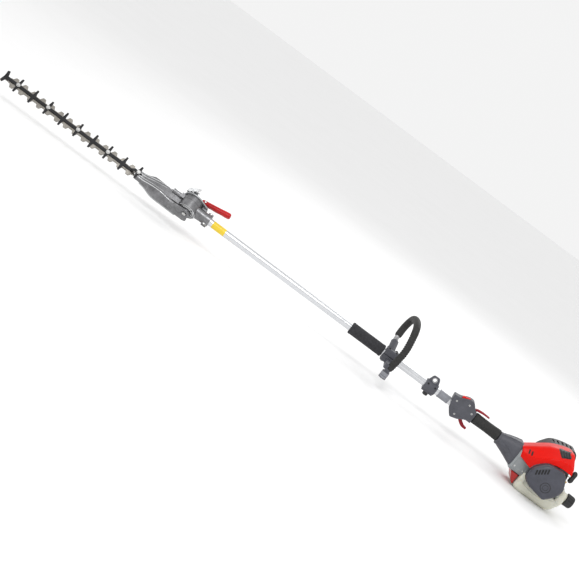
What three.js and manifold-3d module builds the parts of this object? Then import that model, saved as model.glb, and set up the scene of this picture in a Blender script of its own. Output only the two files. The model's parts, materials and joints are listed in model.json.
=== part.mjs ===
// Articulated long-reach petrol hedge trimmer, in millimetres, +Z up.
//
// Frame: the pole lies along X with the cutter towards -X and the engine towards +X,
// the operator's right is +Y, and the origin is the centre of the fuel tank's flat
// underside. Pieces are drawn in a pole frame, whose X is the station along the pole
// measured from the tilt pivot and whose Z is measured from the pole's axis. The head
// is drawn in a head frame: the pole frame rolled about the pole, so that Y is the
// tilt axis and Z is the normal of the flat cutter.

import * as THREE from 'three';
import { mergeVertices } from 'three/addons/utils/BufferGeometryUtils.js';
import Module from 'manifold-3d';

const wasm = await Module();
wasm.setup();

// ---------------------------------------------------------------- driving dimensions

const POLE_RADIUS = 12;
const POLE_WALL = 1.6;
const POLE_AXIS_HEIGHT = 90;
const TANK_STATION = 1380;
const HEAD_ROLL = THREE.MathUtils.degToRad(50);
const GAP = 0.3;

const TUBE_START = 42;
const TUBE_END = 1225;
const SHAFT_RADIUS = 3.5;
const BUSH_STATIONS = [260, 860];
const BUSH_LENGTH = 16;

const TOOTH_PITCH = 35;
const TOOTH_COUNT = 14;
const TOOTH_REACH = 20;
const STRIP_HALF_WIDTH = 9;
const FIRST_TOOTH = -222;
const STROKE = 8.75;
const BLADE_THICKNESS = 3;
const GUARD_TOP = -30;
const GUARD_THICKNESS = 3;
const UPPER_BLADE_TOP = GUARD_TOP - GUARD_THICKNESS - GAP;
const LOWER_BLADE_TOP = UPPER_BLADE_TOP - BLADE_THICKNESS - GAP;
const SUPPORT_TOP = LOWER_BLADE_TOP - BLADE_THICKNESS - GAP;
const SUPPORT_THICKNESS = 4;

const STAR_PITCH = 58.5;
const FIRST_STAR = -252.5;
const STAR_COUNT = 8;
const STAR_REACH = 28;
const NOSE_STAR = FIRST_STAR + STAR_PITCH;
const BOLT_STATIONS = [0, 1, 2, 3, 4].map((i) => NOSE_STAR - 2 * i * STAR_PITCH);
const BOLT_RADIUS = 3;

const HUB_RADIUS = 33;
const CRANK_X = -80;
const CRANK_DISC_RADIUS = 12;
const PINION_Y = 14;

const CASTING = { color: 0x9b9c9e, roughness: 0.5, metalness: 0.7 };
const STEEL = { color: 0xb9bbbe, roughness: 0.35, metalness: 0.9 };
const BLADE_STEEL = { color: 0x8e8a84, roughness: 0.4, metalness: 0.85 };
const TUBE_METAL = { color: 0xd9dadc, roughness: 0.25, metalness: 0.9 };
const BLACK_PAINT = { color: 0x1b1b1c, roughness: 0.5, metalness: 0.3 };
const RUBBER = { color: 0x1d1d1c, roughness: 0.85, metalness: 0 };
const FOAM = { color: 0x24241f, roughness: 0.95, metalness: 0 };
const DARK_PLASTIC = { color: 0x3b3c42, roughness: 0.6, metalness: 0 };
const RED_PLASTIC = { color: 0xd81a0c, roughness: 0.35, metalness: 0 };
const TRIGGER_RED = { color: 0x8e1020, roughness: 0.45, metalness: 0 };
const LIGHT_GREY = { color: 0x9ca0a2, roughness: 0.55, metalness: 0.1 };
const TANK_PLASTIC = { color: 0xd9d8ca, roughness: 0.4, metalness: 0 };
const NYLON = { color: 0xe0dccb, roughness: 0.5, metalness: 0 };
const COVER_SHEET = { color: 0xb4b6b8, roughness: 0.5, metalness: 0.7 };

// ---------------------------------------------------------------- solids and booleans

// A geometry whose shared vertices are merged, without collapsed triangles, facing out.
function clean(geometry) {
  const bare = geometry.clone();
  bare.deleteAttribute('normal');
  bare.deleteAttribute('uv');
  const merged = mergeVertices(bare, 1e-4);
  const position = merged.getAttribute('position');
  const a = new THREE.Vector3();
  const b = new THREE.Vector3();
  const c = new THREE.Vector3();
  const triangles = [];
  let volume = 0;
  for (let i = 0; i < merged.index.count; i += 3) {
    const [p, q, r] = [0, 1, 2].map((k) => merged.index.getX(i + k));
    if (p === q || q === r || r === p) continue;
    triangles.push([p, q, r]);
    a.fromBufferAttribute(position, p);
    b.fromBufferAttribute(position, q);
    c.fromBufferAttribute(position, r);
    volume += a.dot(b.cross(c));
  }
  const facing = volume < 0 ? triangles.map(([p, q, r]) => [p, r, q]) : triangles;
  merged.setIndex(facing.flat());
  return merged;
}

function toSolid(geometry) {
  const ready = clean(geometry);
  return new wasm.Manifold(new wasm.Mesh({
    numProp: 3,
    vertProperties: new Float32Array(ready.getAttribute('position').array),
    triVerts: new Uint32Array(ready.index.array),
  }));
}

function toGeometry(solid) {
  const mesh = solid.getMesh();
  const geometry = new THREE.BufferGeometry();
  geometry.setAttribute('position', new THREE.BufferAttribute(mesh.vertProperties, 3));
  geometry.setIndex(new THREE.BufferAttribute(mesh.triVerts, 1));
  return geometry;
}

function join(...parts) {
  return toGeometry(parts.map(toSolid).reduce((whole, part) => whole.add(part)));
}

function cut(base, ...tools) {
  return toGeometry(tools.map(toSolid).reduce((left, tool) => left.subtract(tool), toSolid(base)));
}

function common(...parts) {
  return toGeometry(parts.map(toSolid).reduce((whole, part) => whole.intersect(part)));
}

// ---------------------------------------------------------------- shapes

function box(x, y, z) {
  const geometry = new THREE.BoxGeometry(x[1] - x[0], y[1] - y[0], z[1] - z[0]);
  return geometry.translate((x[0] + x[1]) / 2, (y[0] + y[1]) / 2, (z[0] + z[1]) / 2);
}

// A cylinder or cone along the named axis, from one coordinate to the other.
function rod(axis, radius, span, centre = [0, 0], sides = 18, endRadius = radius) {
  const geometry = new THREE.CylinderGeometry(endRadius, radius, span[1] - span[0], sides);
  const middle = (span[0] + span[1]) / 2;
  if (axis === 'x') return geometry.rotateZ(-Math.PI / 2).translate(middle, centre[0], centre[1]);
  if (axis === 'y') return geometry.translate(centre[0], middle, centre[1]);
  return geometry.rotateX(Math.PI / 2).translate(centre[0], centre[1], middle);
}

// A solid turned about X. The profile lists [station, radius] and either starts and ends
// on the axis or closes on itself.
function turned(profile, sides = 24) {
  const open = profile[0][1] === 0;
  const points = (open ? profile : [...profile, profile[0]]).map(([x, r]) => new THREE.Vector2(r, x));
  return new THREE.LatheGeometry(points, sides).rotateZ(-Math.PI / 2);
}

function pipe(outer, inner, span, sides = 24) {
  return turned([[span[0], inner], [span[0], outer], [span[1], outer], [span[1], inner]], sides);
}

// A polygon whose corners are rounded. A corner is [x, y] or [x, y, its own radius], and
// no rounding takes more than 0.45 of an edge.
function outline(corners, radius = 0) {
  const shape = new THREE.Shape();
  const points = corners.map(([x, y]) => new THREE.Vector2(x, y));
  points.forEach((point, i) => {
    const before = points.at(i - 1);
    const after = points[(i + 1) % points.length];
    const shortest = Math.min(point.distanceTo(before), point.distanceTo(after));
    const reach = Math.min(corners[i][2] ?? radius, 0.45 * shortest);
    const start = point.clone().add(before.clone().sub(point).setLength(reach));
    const end = point.clone().add(after.clone().sub(point).setLength(reach));
    if (reach === 0) {
      i ? shape.lineTo(point.x, point.y) : shape.moveTo(point.x, point.y);
      return;
    }
    i ? shape.lineTo(start.x, start.y) : shape.moveTo(start.x, start.y);
    shape.quadraticCurveTo(point.x, point.y, end.x, end.y);
  });
  shape.closePath();
  return shape;
}

function disc(x, y, radius) {
  return new THREE.Shape().absarc(x, y, radius, 0, 2 * Math.PI);
}

function slot(x, y, length, radius) {
  const shape = new THREE.Shape();
  shape.absarc(x + length / 2, y, radius, -Math.PI / 2, Math.PI / 2);
  shape.absarc(x - length / 2, y, radius, Math.PI / 2, 1.5 * Math.PI);
  return shape;
}

// A drawing pushed along Z between two heights, with its edges broken by a bevel.
function slab(shape, span, bevel = 0, curveSegments = 4) {
  const geometry = new THREE.ExtrudeGeometry(shape, {
    depth: span[1] - span[0] - 2 * bevel,
    bevelEnabled: bevel > 0,
    bevelThickness: bevel,
    bevelSize: bevel,
    bevelOffset: -bevel,
    bevelSegments: 1,
    curveSegments,
  });
  return geometry.translate(0, 0, span[0] + bevel);
}

// A drawing of X and Z, pushed along Y.
function sideways(shape, span, bevel = 0, curveSegments = 4) {
  return slab(shape, [-span[1], -span[0]], bevel, curveSegments).rotateX(Math.PI / 2);
}

// A drawing of Y and Z, pushed along X.
function lengthways(shape, span, bevel = 0, curveSegments = 4) {
  const turn = new THREE.Matrix4().makeBasis(
    new THREE.Vector3(0, 1, 0),
    new THREE.Vector3(0, 0, 1),
    new THREE.Vector3(1, 0, 0),
  );
  return slab(shape, span, bevel, curveSegments).applyMatrix4(turn);
}

function rectangle(x, y, radius = 0) {
  return outline([[x[0], y[0]], [x[1], y[0]], [x[1], y[1]], [x[0], y[1]]], radius);
}

// A spur wheel drawn about the origin: teeth as small steps on its rim.
function wheelOutline(tipRadius, rootRadius, teeth) {
  const corners = [];
  for (let i = 0; i < teeth; i += 1) {
    const turn = (2 * Math.PI) / teeth;
    [[0, rootRadius], [0.3, rootRadius], [0.42, tipRadius], [0.88, tipRadius]].forEach(([part, r]) => {
      corners.push([r * Math.cos((i + part) * turn), r * Math.sin((i + part) * turn)]);
    });
  }
  return outline(corners);
}

// ---------------------------------------------------------------- scene graph

const part = new THREE.Group();
const pole = new THREE.Group();
pole.position.set(-TANK_STATION, 0, POLE_AXIS_HEIGHT);
part.add(pole);
const head = new THREE.Group();
head.rotation.x = HEAD_ROLL;
pole.add(head);

function piece(parent, name, geometry, finish) {
  const mesh = new THREE.Mesh(clean(geometry), new THREE.MeshStandardMaterial(finish));
  mesh.name = name;
  parent.add(mesh);
}

// ---------------------------------------------------------------- cutter

const BLADE_TIP = FIRST_TOOTH - (TOOTH_COUNT - 1) * TOOTH_PITCH - 16;

// One double-sided blade: a strip with blunt teeth, slots for the bolts, and a wide
// yoke at its rear end with a window round the crank.
function bladeOutline() {
  const rear = CRANK_X + 36;
  const yokeFront = CRANK_X - 36;
  const edge = [[rear, 24], [yokeFront, 24], [yokeFront - 24, STRIP_HALF_WIDTH]];
  for (let i = 0; i < TOOTH_COUNT; i += 1) {
    const x = FIRST_TOOTH - i * TOOTH_PITCH;
    edge.push([x + 11, STRIP_HALF_WIDTH], [x + 5, TOOTH_REACH], [x - 5, TOOTH_REACH]);
    edge.push([x - 11, STRIP_HALF_WIDTH]);
  }
  edge.push([BLADE_TIP, STRIP_HALF_WIDTH], [BLADE_TIP - 6, 4]);
  const mirrored = edge.map(([x, y]) => [x, -y]).reverse();
  const shape = outline([...edge, ...mirrored]);
  BOLT_STATIONS.forEach((x) => shape.holes.push(slot(x, 0, 2 * STROKE + 1, BOLT_RADIUS + 0.8)));
  shape.holes.push(rectangle([CRANK_X - 30.3, CRANK_X + 30.3], [-21.2, 21.2], 8));
  return shape;
}

function blades() {
  const shape = bladeOutline();
  const spanBelow = (top) => [top - BLADE_THICKNESS, top];
  piece(head, 'upper_blade', slab(shape, spanBelow(UPPER_BLADE_TOP), 0, 2), BLADE_STEEL);
  piece(head, 'lower_blade', slab(shape, spanBelow(LOWER_BLADE_TOP), 0, 2), BLADE_STEEL);
}

// A four-pointed guard: two long points across the cutter and two short ones along it.
function starOutline(x, reach = STAR_REACH) {
  return outline([
    [x + 13, 0], [x + 5, 5], [x + 3, reach], [x - 3, reach], [x - 5, 5],
    [x - 13, 0], [x - 5, -5], [x - 3, -reach], [x + 3, -reach], [x + 5, -5],
  ]);
}

const GUARD_TIP = BLADE_TIP - 22;

function boltHole(x) {
  return rod('z', BOLT_RADIUS + GAP, [-80, 40], [x, 0], 8);
}

function guard() {
  const span = [GUARD_TOP - GUARD_THICKNESS, GUARD_TOP];
  const noseTop = NOSE_TOP + 3.5;
  const rail = slab(rectangle([GUARD_TIP, NOSE_STAR - 24], [-5, 5]), span);
  const stars = [];
  for (let i = 0; i < STAR_COUNT; i += 1) {
    stars.push(slab(starOutline(FIRST_STAR - i * STAR_PITCH), span, 0, 2));
  }
  const tip = slab(outline([
    [GUARD_TIP - 3, -21, 2], [GUARD_TIP + 5, -24, 2], [GUARD_TIP + 13, 0, 4], [GUARD_TIP + 5, 24, 2],
    [GUARD_TIP - 3, 21, 2], [GUARD_TIP, 0, 6],
  ]), span, 0, 2);
  const nose = slab(starOutline(NOSE_STAR, 24), [noseTop - 3, noseTop], 0, 2);
  const legLine = [
    [NOSE_STAR - 8, noseTop - 3], [NOSE_STAR - 8, noseTop], [NOSE_STAR - 16, noseTop],
    [NOSE_STAR - 27, GUARD_TOP], [NOSE_STAR - 27, span[0]], [NOSE_STAR - 23, span[0]],
    [NOSE_STAR - 14, noseTop - 3],
  ];
  const leg = sideways(outline(legLine), [-5, 5]);
  const holes = BOLT_STATIONS.map(boltHole);
  piece(head, 'guard_bar', cut(join(rail, ...stars, tip, nose, leg), ...holes), BLACK_PAINT);
}

// The bar under the blades turns up past their tips, to meet the guard.
function supportBar() {
  const span = [SUPPORT_TOP - SUPPORT_THICKNESS, SUPPORT_TOP];
  const bar = slab(rectangle([BLADE_TIP + 4, NOSE_STAR - 14], [-8, 8], 3), span);
  const bridge = slab(rectangle([BLADE_TIP - 20, BLADE_TIP + 12], [-5, 5]), span);
  const upturn = [span[0], GUARD_TOP - GUARD_THICKNESS - GAP];
  const spacer = slab(rectangle([GUARD_TIP - 1, BLADE_TIP - 15.5], [-5, 5], 1), upturn);
  const holes = BOLT_STATIONS.slice(1).map(boltHole);
  piece(head, 'support_bar', cut(join(bar, bridge, spacer), ...holes), BLADE_STEEL);
}

function guardBolts() {
  BOLT_STATIONS.forEach((x, i) => {
    const seat = i ? GUARD_TOP : NOSE_TOP + 3.5;
    const foot = i ? SUPPORT_TOP - SUPPORT_THICKNESS - 4 : SUPPORT_TOP;
    const shank = rod('z', BOLT_RADIUS, [foot, seat + 1], [x, 0], 8);
    const bolt = rod('z', 6, [seat + GAP, seat + 5], [x, 0], 6);
    const washer = rod('z', 7, [seat + GAP, seat + 1.6], [x, 0], 16);
    const nut = rod('z', 5.5, [foot, SUPPORT_TOP - SUPPORT_THICKNESS - GAP], [x, 0], 6);
    const whole = i ? join(shank, bolt, washer, nut) : join(shank, bolt, washer);
    piece(head, `guard_bolt_${i + 1}`, whole, STEEL);
  });
}

// ---------------------------------------------------------------- gear case

const NOSE_TOP = -20;
const ARM_FACE = -31;
const ARM_THICKNESS = 5;
const PIVOT_BOSS_RADIUS = 19;
const CASE_FLOOR = SUPPORT_TOP - 2;
const COVER_FLOOR = CASE_FLOOR - 7;

// The plan of the case: a narrow square nose that widens towards the tilt hub.
function casePlan(grow) {
  const side = [
    [-201 - grow, 13 + grow, 3], [-160, 15 + grow, 12],
    [-124, 29 + grow, 14], [-27 + grow, 30 + grow, 3],
  ];
  const mirrored = side.map(([x, y, radius]) => [x, -y, radius]).reverse();
  return outline([...side, ...mirrored]);
}

function gearcase() {
  const plan = slab(casePlan(0), [-60, 60]);
  const profile = sideways(outline([
    [-201, CASE_FLOOR], [-27, CASE_FLOOR], [-20, -20], [-14, -1], [-84, -1, 16],
    [-130, -8, 20], [-168, NOSE_TOP, 6], [-201, NOSE_TOP],
  ]), [-60, 60], 0, 3);
  const shoulder = lengthways(outline([
    [-34, -60], [34, -60], [29.5, -34], [21, -10], [14, -1], [-14, -1], [-21, -10], [-29.5, -34],
  ]), [-230, 0], 0, 3);
  const spine = rod('x', 8.3, [-72, -8], [PINION_Y, 0], 18);
  const body = common(plan, profile, shoulder);
  const hub = rod('y', HUB_RADIUS, [7, 24], [0, 0], 28);
  const bridge = box([-44, 0], [7, 24], [-24, 8.5]);
  const stub = rod('y', 11, [20, 33], [0, 0], 18);
  const arm = join(
    rod('y', PIVOT_BOSS_RADIUS, [ARM_FACE, ARM_FACE + ARM_THICKNESS], [0, 0], 28),
    sideways(outline([
      [-60, -41], [-44, 12, 6], [0, PIVOT_BOSS_RADIUS], [12, -14], [14, -36, 6], [2, -42], [-40, -41],
    ]), [ARM_FACE, ARM_FACE + ARM_THICKNESS]),
    box([-60, -34.5], [ARM_FACE, -24], [-41, 8]),
  );
  const clearNeck = rod('y', HUB_RADIUS + 1.2, [-25.6, 6.7], [0, 0], 28);
  const boltRecess = rod('y', 9.5, [-40, -28.5], [0, 0], 20);
  const gearWell = slab(outline([
    [-210, 10], [-162, 11], [-130, 25.5], [-33, 25.5], [-33, -25.5], [-130, -25.5], [-162, -11], [-210, -10],
  ]), [-60, UPPER_BLADE_TOP + 0.5]);
  const wheelWell = slab(disc(CRANK_X, 0, 15), [-40, -6], 0, 6);
  const shaftBore = rod('x', 4.6, [-85, 40], [PINION_Y, 0], 14);
  const bevelWell = common(rod('y', 27, [6, 20.5], [0, 0], 22), box([-30, 30], [0, 30], [-30, 30]));
  const pinionWell = rod('x', 6.3, [CRANK_X + 11, CRANK_X + 21], [PINION_Y, 0], 16);
  const plateRoom = cut(rod('y', 39.2, [24, 70], [0, 0], 28), rod('y', 11, [20, 80]));
  const pivotBore = rod('y', 4.3, [-40, 40], [0, 0], 16);
  const boltBore = rod('z', BOLT_RADIUS + GAP, [-80, 0], [NOSE_STAR, 0], 10);
  piece(head, 'gearcase', cut(
    join(body, spine, hub, bridge, stub, arm),
    boltRecess, clearNeck, gearWell, wheelWell, shaftBore, bevelWell, pinionWell, plateRoom,
    pivotBore, boltBore,
  ), CASTING);
}

function gearcaseCover() {
  const plate = slab(casePlan(1.5), [COVER_FLOOR, CASE_FLOOR - GAP], 1.5, 3);
  const trimmed = common(plate, box([-176, -20], [-60, 60], [-90, 0]));
  const well = slab(outline([
    [-210, 8], [-162, 9], [-130, 23], [-35, 23], [-35, -23], [-130, -23], [-162, -9], [-210, -8],
  ]), [COVER_FLOOR + 3, CASE_FLOOR + 4]);
  piece(head, 'gearcase_cover', cut(trimmed, well), COVER_SHEET);
}

// Inside the case: the crank wheel with its two offset discs, the wheel that drives it,
// the bevel pinion on its shaft, and the bevel wheel on the tilt axis.
function gearTrain() {
  const wheel = slab(wheelOutline(13.5, 11.2, 16), [-14, -7]);
  const hub = rod('z', 5, [LOWER_BLADE_TOP - BLADE_THICKNESS - 1, -14], [0, 0], 16);
  const discs = [[UPPER_BLADE_TOP, 1], [LOWER_BLADE_TOP, -1]].map(([top, side]) => (
    rod('z', CRANK_DISC_RADIUS, [top - BLADE_THICKNESS, top], [side * STROKE, 0], 16)
  ));
  const neck = rod('z', 9, [UPPER_BLADE_TOP - 0.1, -12], [0, 0], 16);
  const web = rod('z', 9, [LOWER_BLADE_TOP - 0.1, UPPER_BLADE_TOP - BLADE_THICKNESS + 0.1], [0, 0], 20);
  piece(head, 'crank_gear', join(wheel, hub, neck, web, ...discs).translate(CRANK_X, 0, 0), STEEL);
  const shaft = rod('x', 4, [CRANK_X + 14, -14], [PINION_Y, 0], 12);
  const front = rod('x', 4.2, [CRANK_X + 12, CRANK_X + 19], [PINION_Y, 0], 12, 5.6);
  const bevel = rod('x', 5.6, [-22, -14], [PINION_Y, 0], 12, 3.8);
  piece(head, 'head_pinion', join(shaft, bevel, front), STEEL);
}

// ---------------------------------------------------------------- tilt joint

const PLATE_BOTTOM = 24.3;
const PLATE_TOP = 28.3;
const PIN_AT = [-8, 28];
const PIN_RADIUS = 2.8;
const PIN_PLAY = 0.5;
const INDEX_STEP = THREE.MathUtils.degToRad(15);
const FIRST_INDEX_HOLE = -6;
const LAST_INDEX_HOLE = 6;

function neckCasting() {
  const housing = rod('y', HUB_RADIUS - 0.5, [-20, 6.7], [0, 0], 28);
  const boss = rod('y', 14, [-25, -18], [0, 0], 18);
  const taper = rod('x', 21, [14, 50], [0, 0], 20, 18.5);
  const socket = rod('x', 18.5, [48, 78], [0, 0], 20);
  const ears = sideways(rectangle([60, 77], [-6, 6], 2), [-24, 24]);
  const arm = box([36.5, 52], [10, PLATE_BOTTOM - GAP], [-9, 9]);
  const tubeBore = rod('x', POLE_RADIUS + GAP, [TUBE_START - 1, 90], [0, 0], 20);
  const shaftBore = rod('x', 9.5, [0, 90], [0, 0], 20);
  const well = rod('y', 27, [-15, 12], [0, 0], 22);
  const wellLimit = box([-30, 30], [-15, 6.8], [-30, 30]);
  const pivotBore = rod('y', 4.3, [-40, 12], [0, 0], 16);
  const slit = box([54, 90], [-30, 30], [-0.8, 0.8]);
  const outside = join(housing, boss, taper, socket, ears, arm);
  const hubRoom = cut(rod('y', HUB_RADIUS + 0.8, [6.8, 40], [0, 0], 28), box([34, 60], [0, 60], [-30, 30]));
  piece(head, 'neck_casting', cut(
    outside, common(well, wellLimit), tubeBore, shaftBore, pivotBore, slit, hubRoom,
  ), CASTING);
}

// A disc with a ring of latch holes, fixed to the neck by its tab.
function indexPlate() {
  const shape = outline([
    [20, -32, 8], [50, -12, 3], [50, 12, 3], [20, 32, 8], [12, 30], [12, -30],
  ]);
  const rim = rod('y', 38, [PLATE_BOTTOM, PLATE_TOP], [0, 0], 28);
  const tab = sideways(shape, [PLATE_BOTTOM, PLATE_TOP]);
  const base = Math.atan2(PIN_AT[1], PIN_AT[0]);
  const reach = Math.hypot(...PIN_AT);
  const holes = [];
  for (let i = FIRST_INDEX_HOLE; i <= LAST_INDEX_HOLE; i += 1) {
    const angle = base - i * INDEX_STEP;
    const at = [reach * Math.cos(angle), reach * Math.sin(angle)];
    holes.push(rod('y', PIN_RADIUS + PIN_PLAY, [20, 34], at, 8));
  }
  const bore = rod('y', 11.4, [20, 34], [0, 0], 18);
  piece(head, 'index_plate', cut(join(rim, tab), bore, ...holes), CASTING);
}

function latch() {
  const low = PLATE_TOP + GAP;
  const foot = rod('y', 17, [low, 37], [0, 0], 20);
  const rearArm = sideways(outline([[0, -12, 2], [40, -8, 4], [40, 8, 4], [0, 14, 2]]), [low + 2, 35.2], 1);
  const pinArm = sideways(outline([[-14, 0], [10, 0], [0, 37, 6], [-16, 37, 6]]), [low + 2, 34], 1);
  const pinTower = rod('y', 7.5, [low + 2, 36], PIN_AT, 18);
  const leverPost = box([-36, -12], [low + 2, 39], [16, 19.5]);
  const stubBore = rod('y', 11.3, [20, 33.3], [0, 0], 18);
  const boltBore = rod('y', 4.3, [20, 60], [0, 0], 16);
  const pinBore = rod('y', PIN_RADIUS + PIN_PLAY, [20, 60], PIN_AT, 12);
  piece(head, 'latch_carrier', cut(
    join(foot, rearArm, pinArm, pinTower, leverPost), stubBore, boltBore, pinBore,
  ), DARK_PLASTIC);
  const shank = rod('y', PIN_RADIUS, [PLATE_TOP + 2 * GAP, 41], PIN_AT, 12);
  const cap = rod('y', 5, [40.4, 43], PIN_AT, 12);
  piece(head, 'latch_pin', join(shank, cap), STEEL);
  const horn = outline([
    [-35, 31, 2], [-26, 31, 3], [-21, 41, 4], [-10, 43.4, 2], [1, 44.4, 2], [2, 48, 2], [-9, 49, 5],
    [0, 60, 2], [-4, 63, 2], [-18, 55, 8], [-35, 43, 6],
  ]);
  piece(head, 'latch_lever', slab(horn, [20, 25], 0.8), LIGHT_GREY);
}

function headHandle() {
  const side = outline([
    [18, 35.6, 6], [44, 38.5, 12], [84, 45, 14], [122, 51.5, 8], [118, 68, 8], [78, 60, 14],
    [18, 49, 7],
  ]);
  piece(head, 'head_handle', slab(side, [-10, 10], 2), RED_PLASTIC);
}

function pivotBolt() {
  const shank = rod('y', 4, [-31, 42], [0, 0], 16);
  const top = rod('y', 7, [37.3, 43], [0, 0], 6);
  const bottom = rod('y', 7.5, [-33.5, -28.8], [0, 0], 6);
  piece(head, 'pivot_bolt', join(shank, top, bottom), STEEL);
}

// A bevel wheel on the tilt axis carries the drive from the neck to the head.
function tiltIdler() {
  const lower = rod('y', 13, [-13, -8], [0, 0], 20, 17);
  const upper = rod('y', 17, [1, 6], [0, 0], 20, 13);
  const sleeve = rod('y', 7, [-10, 3], [0, 0], 16);
  const bore = rod('y', 4.4, [-30, 30], [0, 0], 16);
  piece(head, 'tilt_idler', cut(join(lower, upper, sleeve), bore), STEEL);
}

// ---------------------------------------------------------------- pole

function poleAndShaft() {
  const tube = pipe(POLE_RADIUS, POLE_RADIUS - POLE_WALL, [TUBE_START, TUBE_END], 20);
  piece(pole, 'main_tube', tube, TUBE_METAL);
  const shaft = rod('x', SHAFT_RADIUS, [20, 1252], [0, 0], 10);
  const bevel = rod('x', 3.4, [18, 26], [0, 0], 14, 6);
  piece(pole, 'drive_shaft', join(shaft, bevel), STEEL);
  BUSH_STATIONS.forEach((x, i) => {
    const bush = pipe(POLE_RADIUS - POLE_WALL - GAP, SHAFT_RADIUS + 0.5, [x, x + BUSH_LENGTH], 20);
    piece(pole, `liner_bush_${i + 1}`, bush, NYLON);
  });
  piece(pole, 'foam_sleeve', turned([
    [627, POLE_RADIUS + GAP], [627, 18], [630, 20], [749, 20], [752, 18], [752, POLE_RADIUS + GAP],
  ]), FOAM);
  piece(pole, 'spacer_sleeve', turned([
    [968, POLE_RADIUS + GAP], [968, 13.6], [972, 13.6], [973, 13.1], [1002, 13.1], [1003, 13.6],
    [1007, 13.6], [1007, POLE_RADIUS + GAP],
  ], 20), LIGHT_GREY);
}

// The loop: up the right limb, over the pole, down the left limb and on below the pole
// as a barrier.
const LOOP_POINTS = [
  [768, 36, 26], [766, 66, 52], [767, 80, 92], [772, 60, 128], [780, 0, 138], [787, -60, 128],
  [795, -82, 92], [800, -84, 50], [796, -83, 0], [790, -82, -50],
];
const LOOP_STEPS = 22;
const LOOP_RADIUS = 8;
const LOOP_GRIP_RADIUS = 12;
const LOOP_GRIP_FROM = 0.1;
const LOOP_GRIP_TO = 0.93;

function alongLoop(outer, inner, from, to) {
  const whole = new THREE.CatmullRomCurve3(LOOP_POINTS.map((p) => new THREE.Vector3(...p)));
  const steps = Math.round(LOOP_STEPS * (to - from));
  const points = [];
  for (let i = 0; i <= steps; i += 1) {
    points.push(whole.getPointAt(from + ((to - from) * i) / steps));
  }
  const path = new THREE.CatmullRomCurve3(points);
  const ring = disc(0, 0, outer);
  if (inner) ring.holes.push(disc(0, 0, inner));
  return new THREE.ExtrudeGeometry(ring, { steps, extrudePath: path, curveSegments: 5 });
}

function loopHandle() {
  const grip = alongLoop(LOOP_GRIP_RADIUS, 9.8, LOOP_GRIP_FROM, LOOP_GRIP_TO);
  piece(pole, 'loop_tube', alongLoop(LOOP_RADIUS, 0, 0, 1), STEEL);
  piece(pole, 'loop_grip', grip, RUBBER);
  const bore = rod('x', POLE_RADIUS + GAP, [740, 810], [0, 0], 20);
  const tubeRoom = alongLoop(LOOP_RADIUS + 0.4, 0, 0, 1);
  const top = sideways(rectangle([756, 798], [0.4, 22]), [-21, 21], 2);
  const arm = new THREE.ExtrudeGeometry(disc(0, 0, 12.5), {
    steps: 3,
    extrudePath: new THREE.LineCurve3(new THREE.Vector3(772, 6, 12), new THREE.Vector3(768, 50, 38)),
    curveSegments: 6,
  });
  const far = common(arm, box([740, 800], [0, 52], [0.4, 60]));
  piece(pole, 'loop_clamp_upper', cut(join(top, far), bore, tubeRoom), DARK_PLASTIC);
  const bottom = sideways(rectangle([756, 798], [-22, -0.4]), [-21, 21], 2);
  const reach = box([774, 800], [-90, -15], [-24, -6]);
  const endCap = rod('z', 12.5, [-54, -30], [791, -82], 20);
  const strap = box([783, 799], [-92, -72], [-34, -8]);
  const gripRoom = alongLoop(LOOP_GRIP_RADIUS + 0.4, 0, LOOP_GRIP_FROM, LOOP_GRIP_TO);
  const whole = join(bottom, reach, endCap, strap);
  piece(pole, 'loop_clamp_lower', cut(whole, bore, gripRoom, tubeRoom), DARK_PLASTIC);
}

const RING_AT = [936, 25];

function harnessClamp() {
  const collar = rod('x', 18, [915, 958], [0, 0], 20);
  const lower = sideways(rectangle([917, 956], [-22, 0]), [-9, 9], 2);
  const ringHole = disc(...RING_AT, 6);
  const lugShape = outline([
    [915, 8], [957, 8], [953, 24, 5], [948, 38, 6], [926, 38, 8], [921, 24, 5],
  ]);
  lugShape.holes.push(ringHole);
  const lug = sideways(lugShape, [-5, 5], 0, 6);
  const bore = rod('x', POLE_RADIUS + GAP, [900, 970], [0, 0], 20);
  piece(pole, 'harness_clamp', cut(join(collar, lower, lug), bore), DARK_PLASTIC);
}

// ---------------------------------------------------------------- controls

function throttleHousing() {
  const shape = outline([
    [1009, 31, 4], [1012, 8, 10], [1020, -16, 8], [1036, -36, 5], [1060, -29, 8], [1082, -15, 6],
    [1100, -15, 2], [1100, 22, 2], [1090, 28, 5], [1074, 46, 6], [1056, 46, 8], [1030, 33, 8],
  ]);
  const body = sideways(shape, [-21, 21], 1.5);
  const bore = rod('x', POLE_RADIUS + GAP, [1000, 1120], [0, 0], 20);
  const triggerRoom = box([1056, 1115], [-6, 6], [-40, -12.5]);
  const lockRoom = box([1083, 1115], [-6.5, 6.5], [16, 60]);
  const switchRoom = box([1031.5, 1061], [-18, -3.5], [24, 60]);
  const cableRoom = box([1040, 1112], [-2.5, 2.5], [13, 18]);
  const open = cut(body, bore, triggerRoom, lockRoom, switchRoom, cableRoom);
  const half = (y) => common(open, box([1000, 1120], y, [-60, 60]));
  piece(pole, 'throttle_housing_left', half([-30, -0.15]), DARK_PLASTIC);
  piece(pole, 'throttle_housing_right', half([0.15, 30]), DARK_PLASTIC);
}

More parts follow.
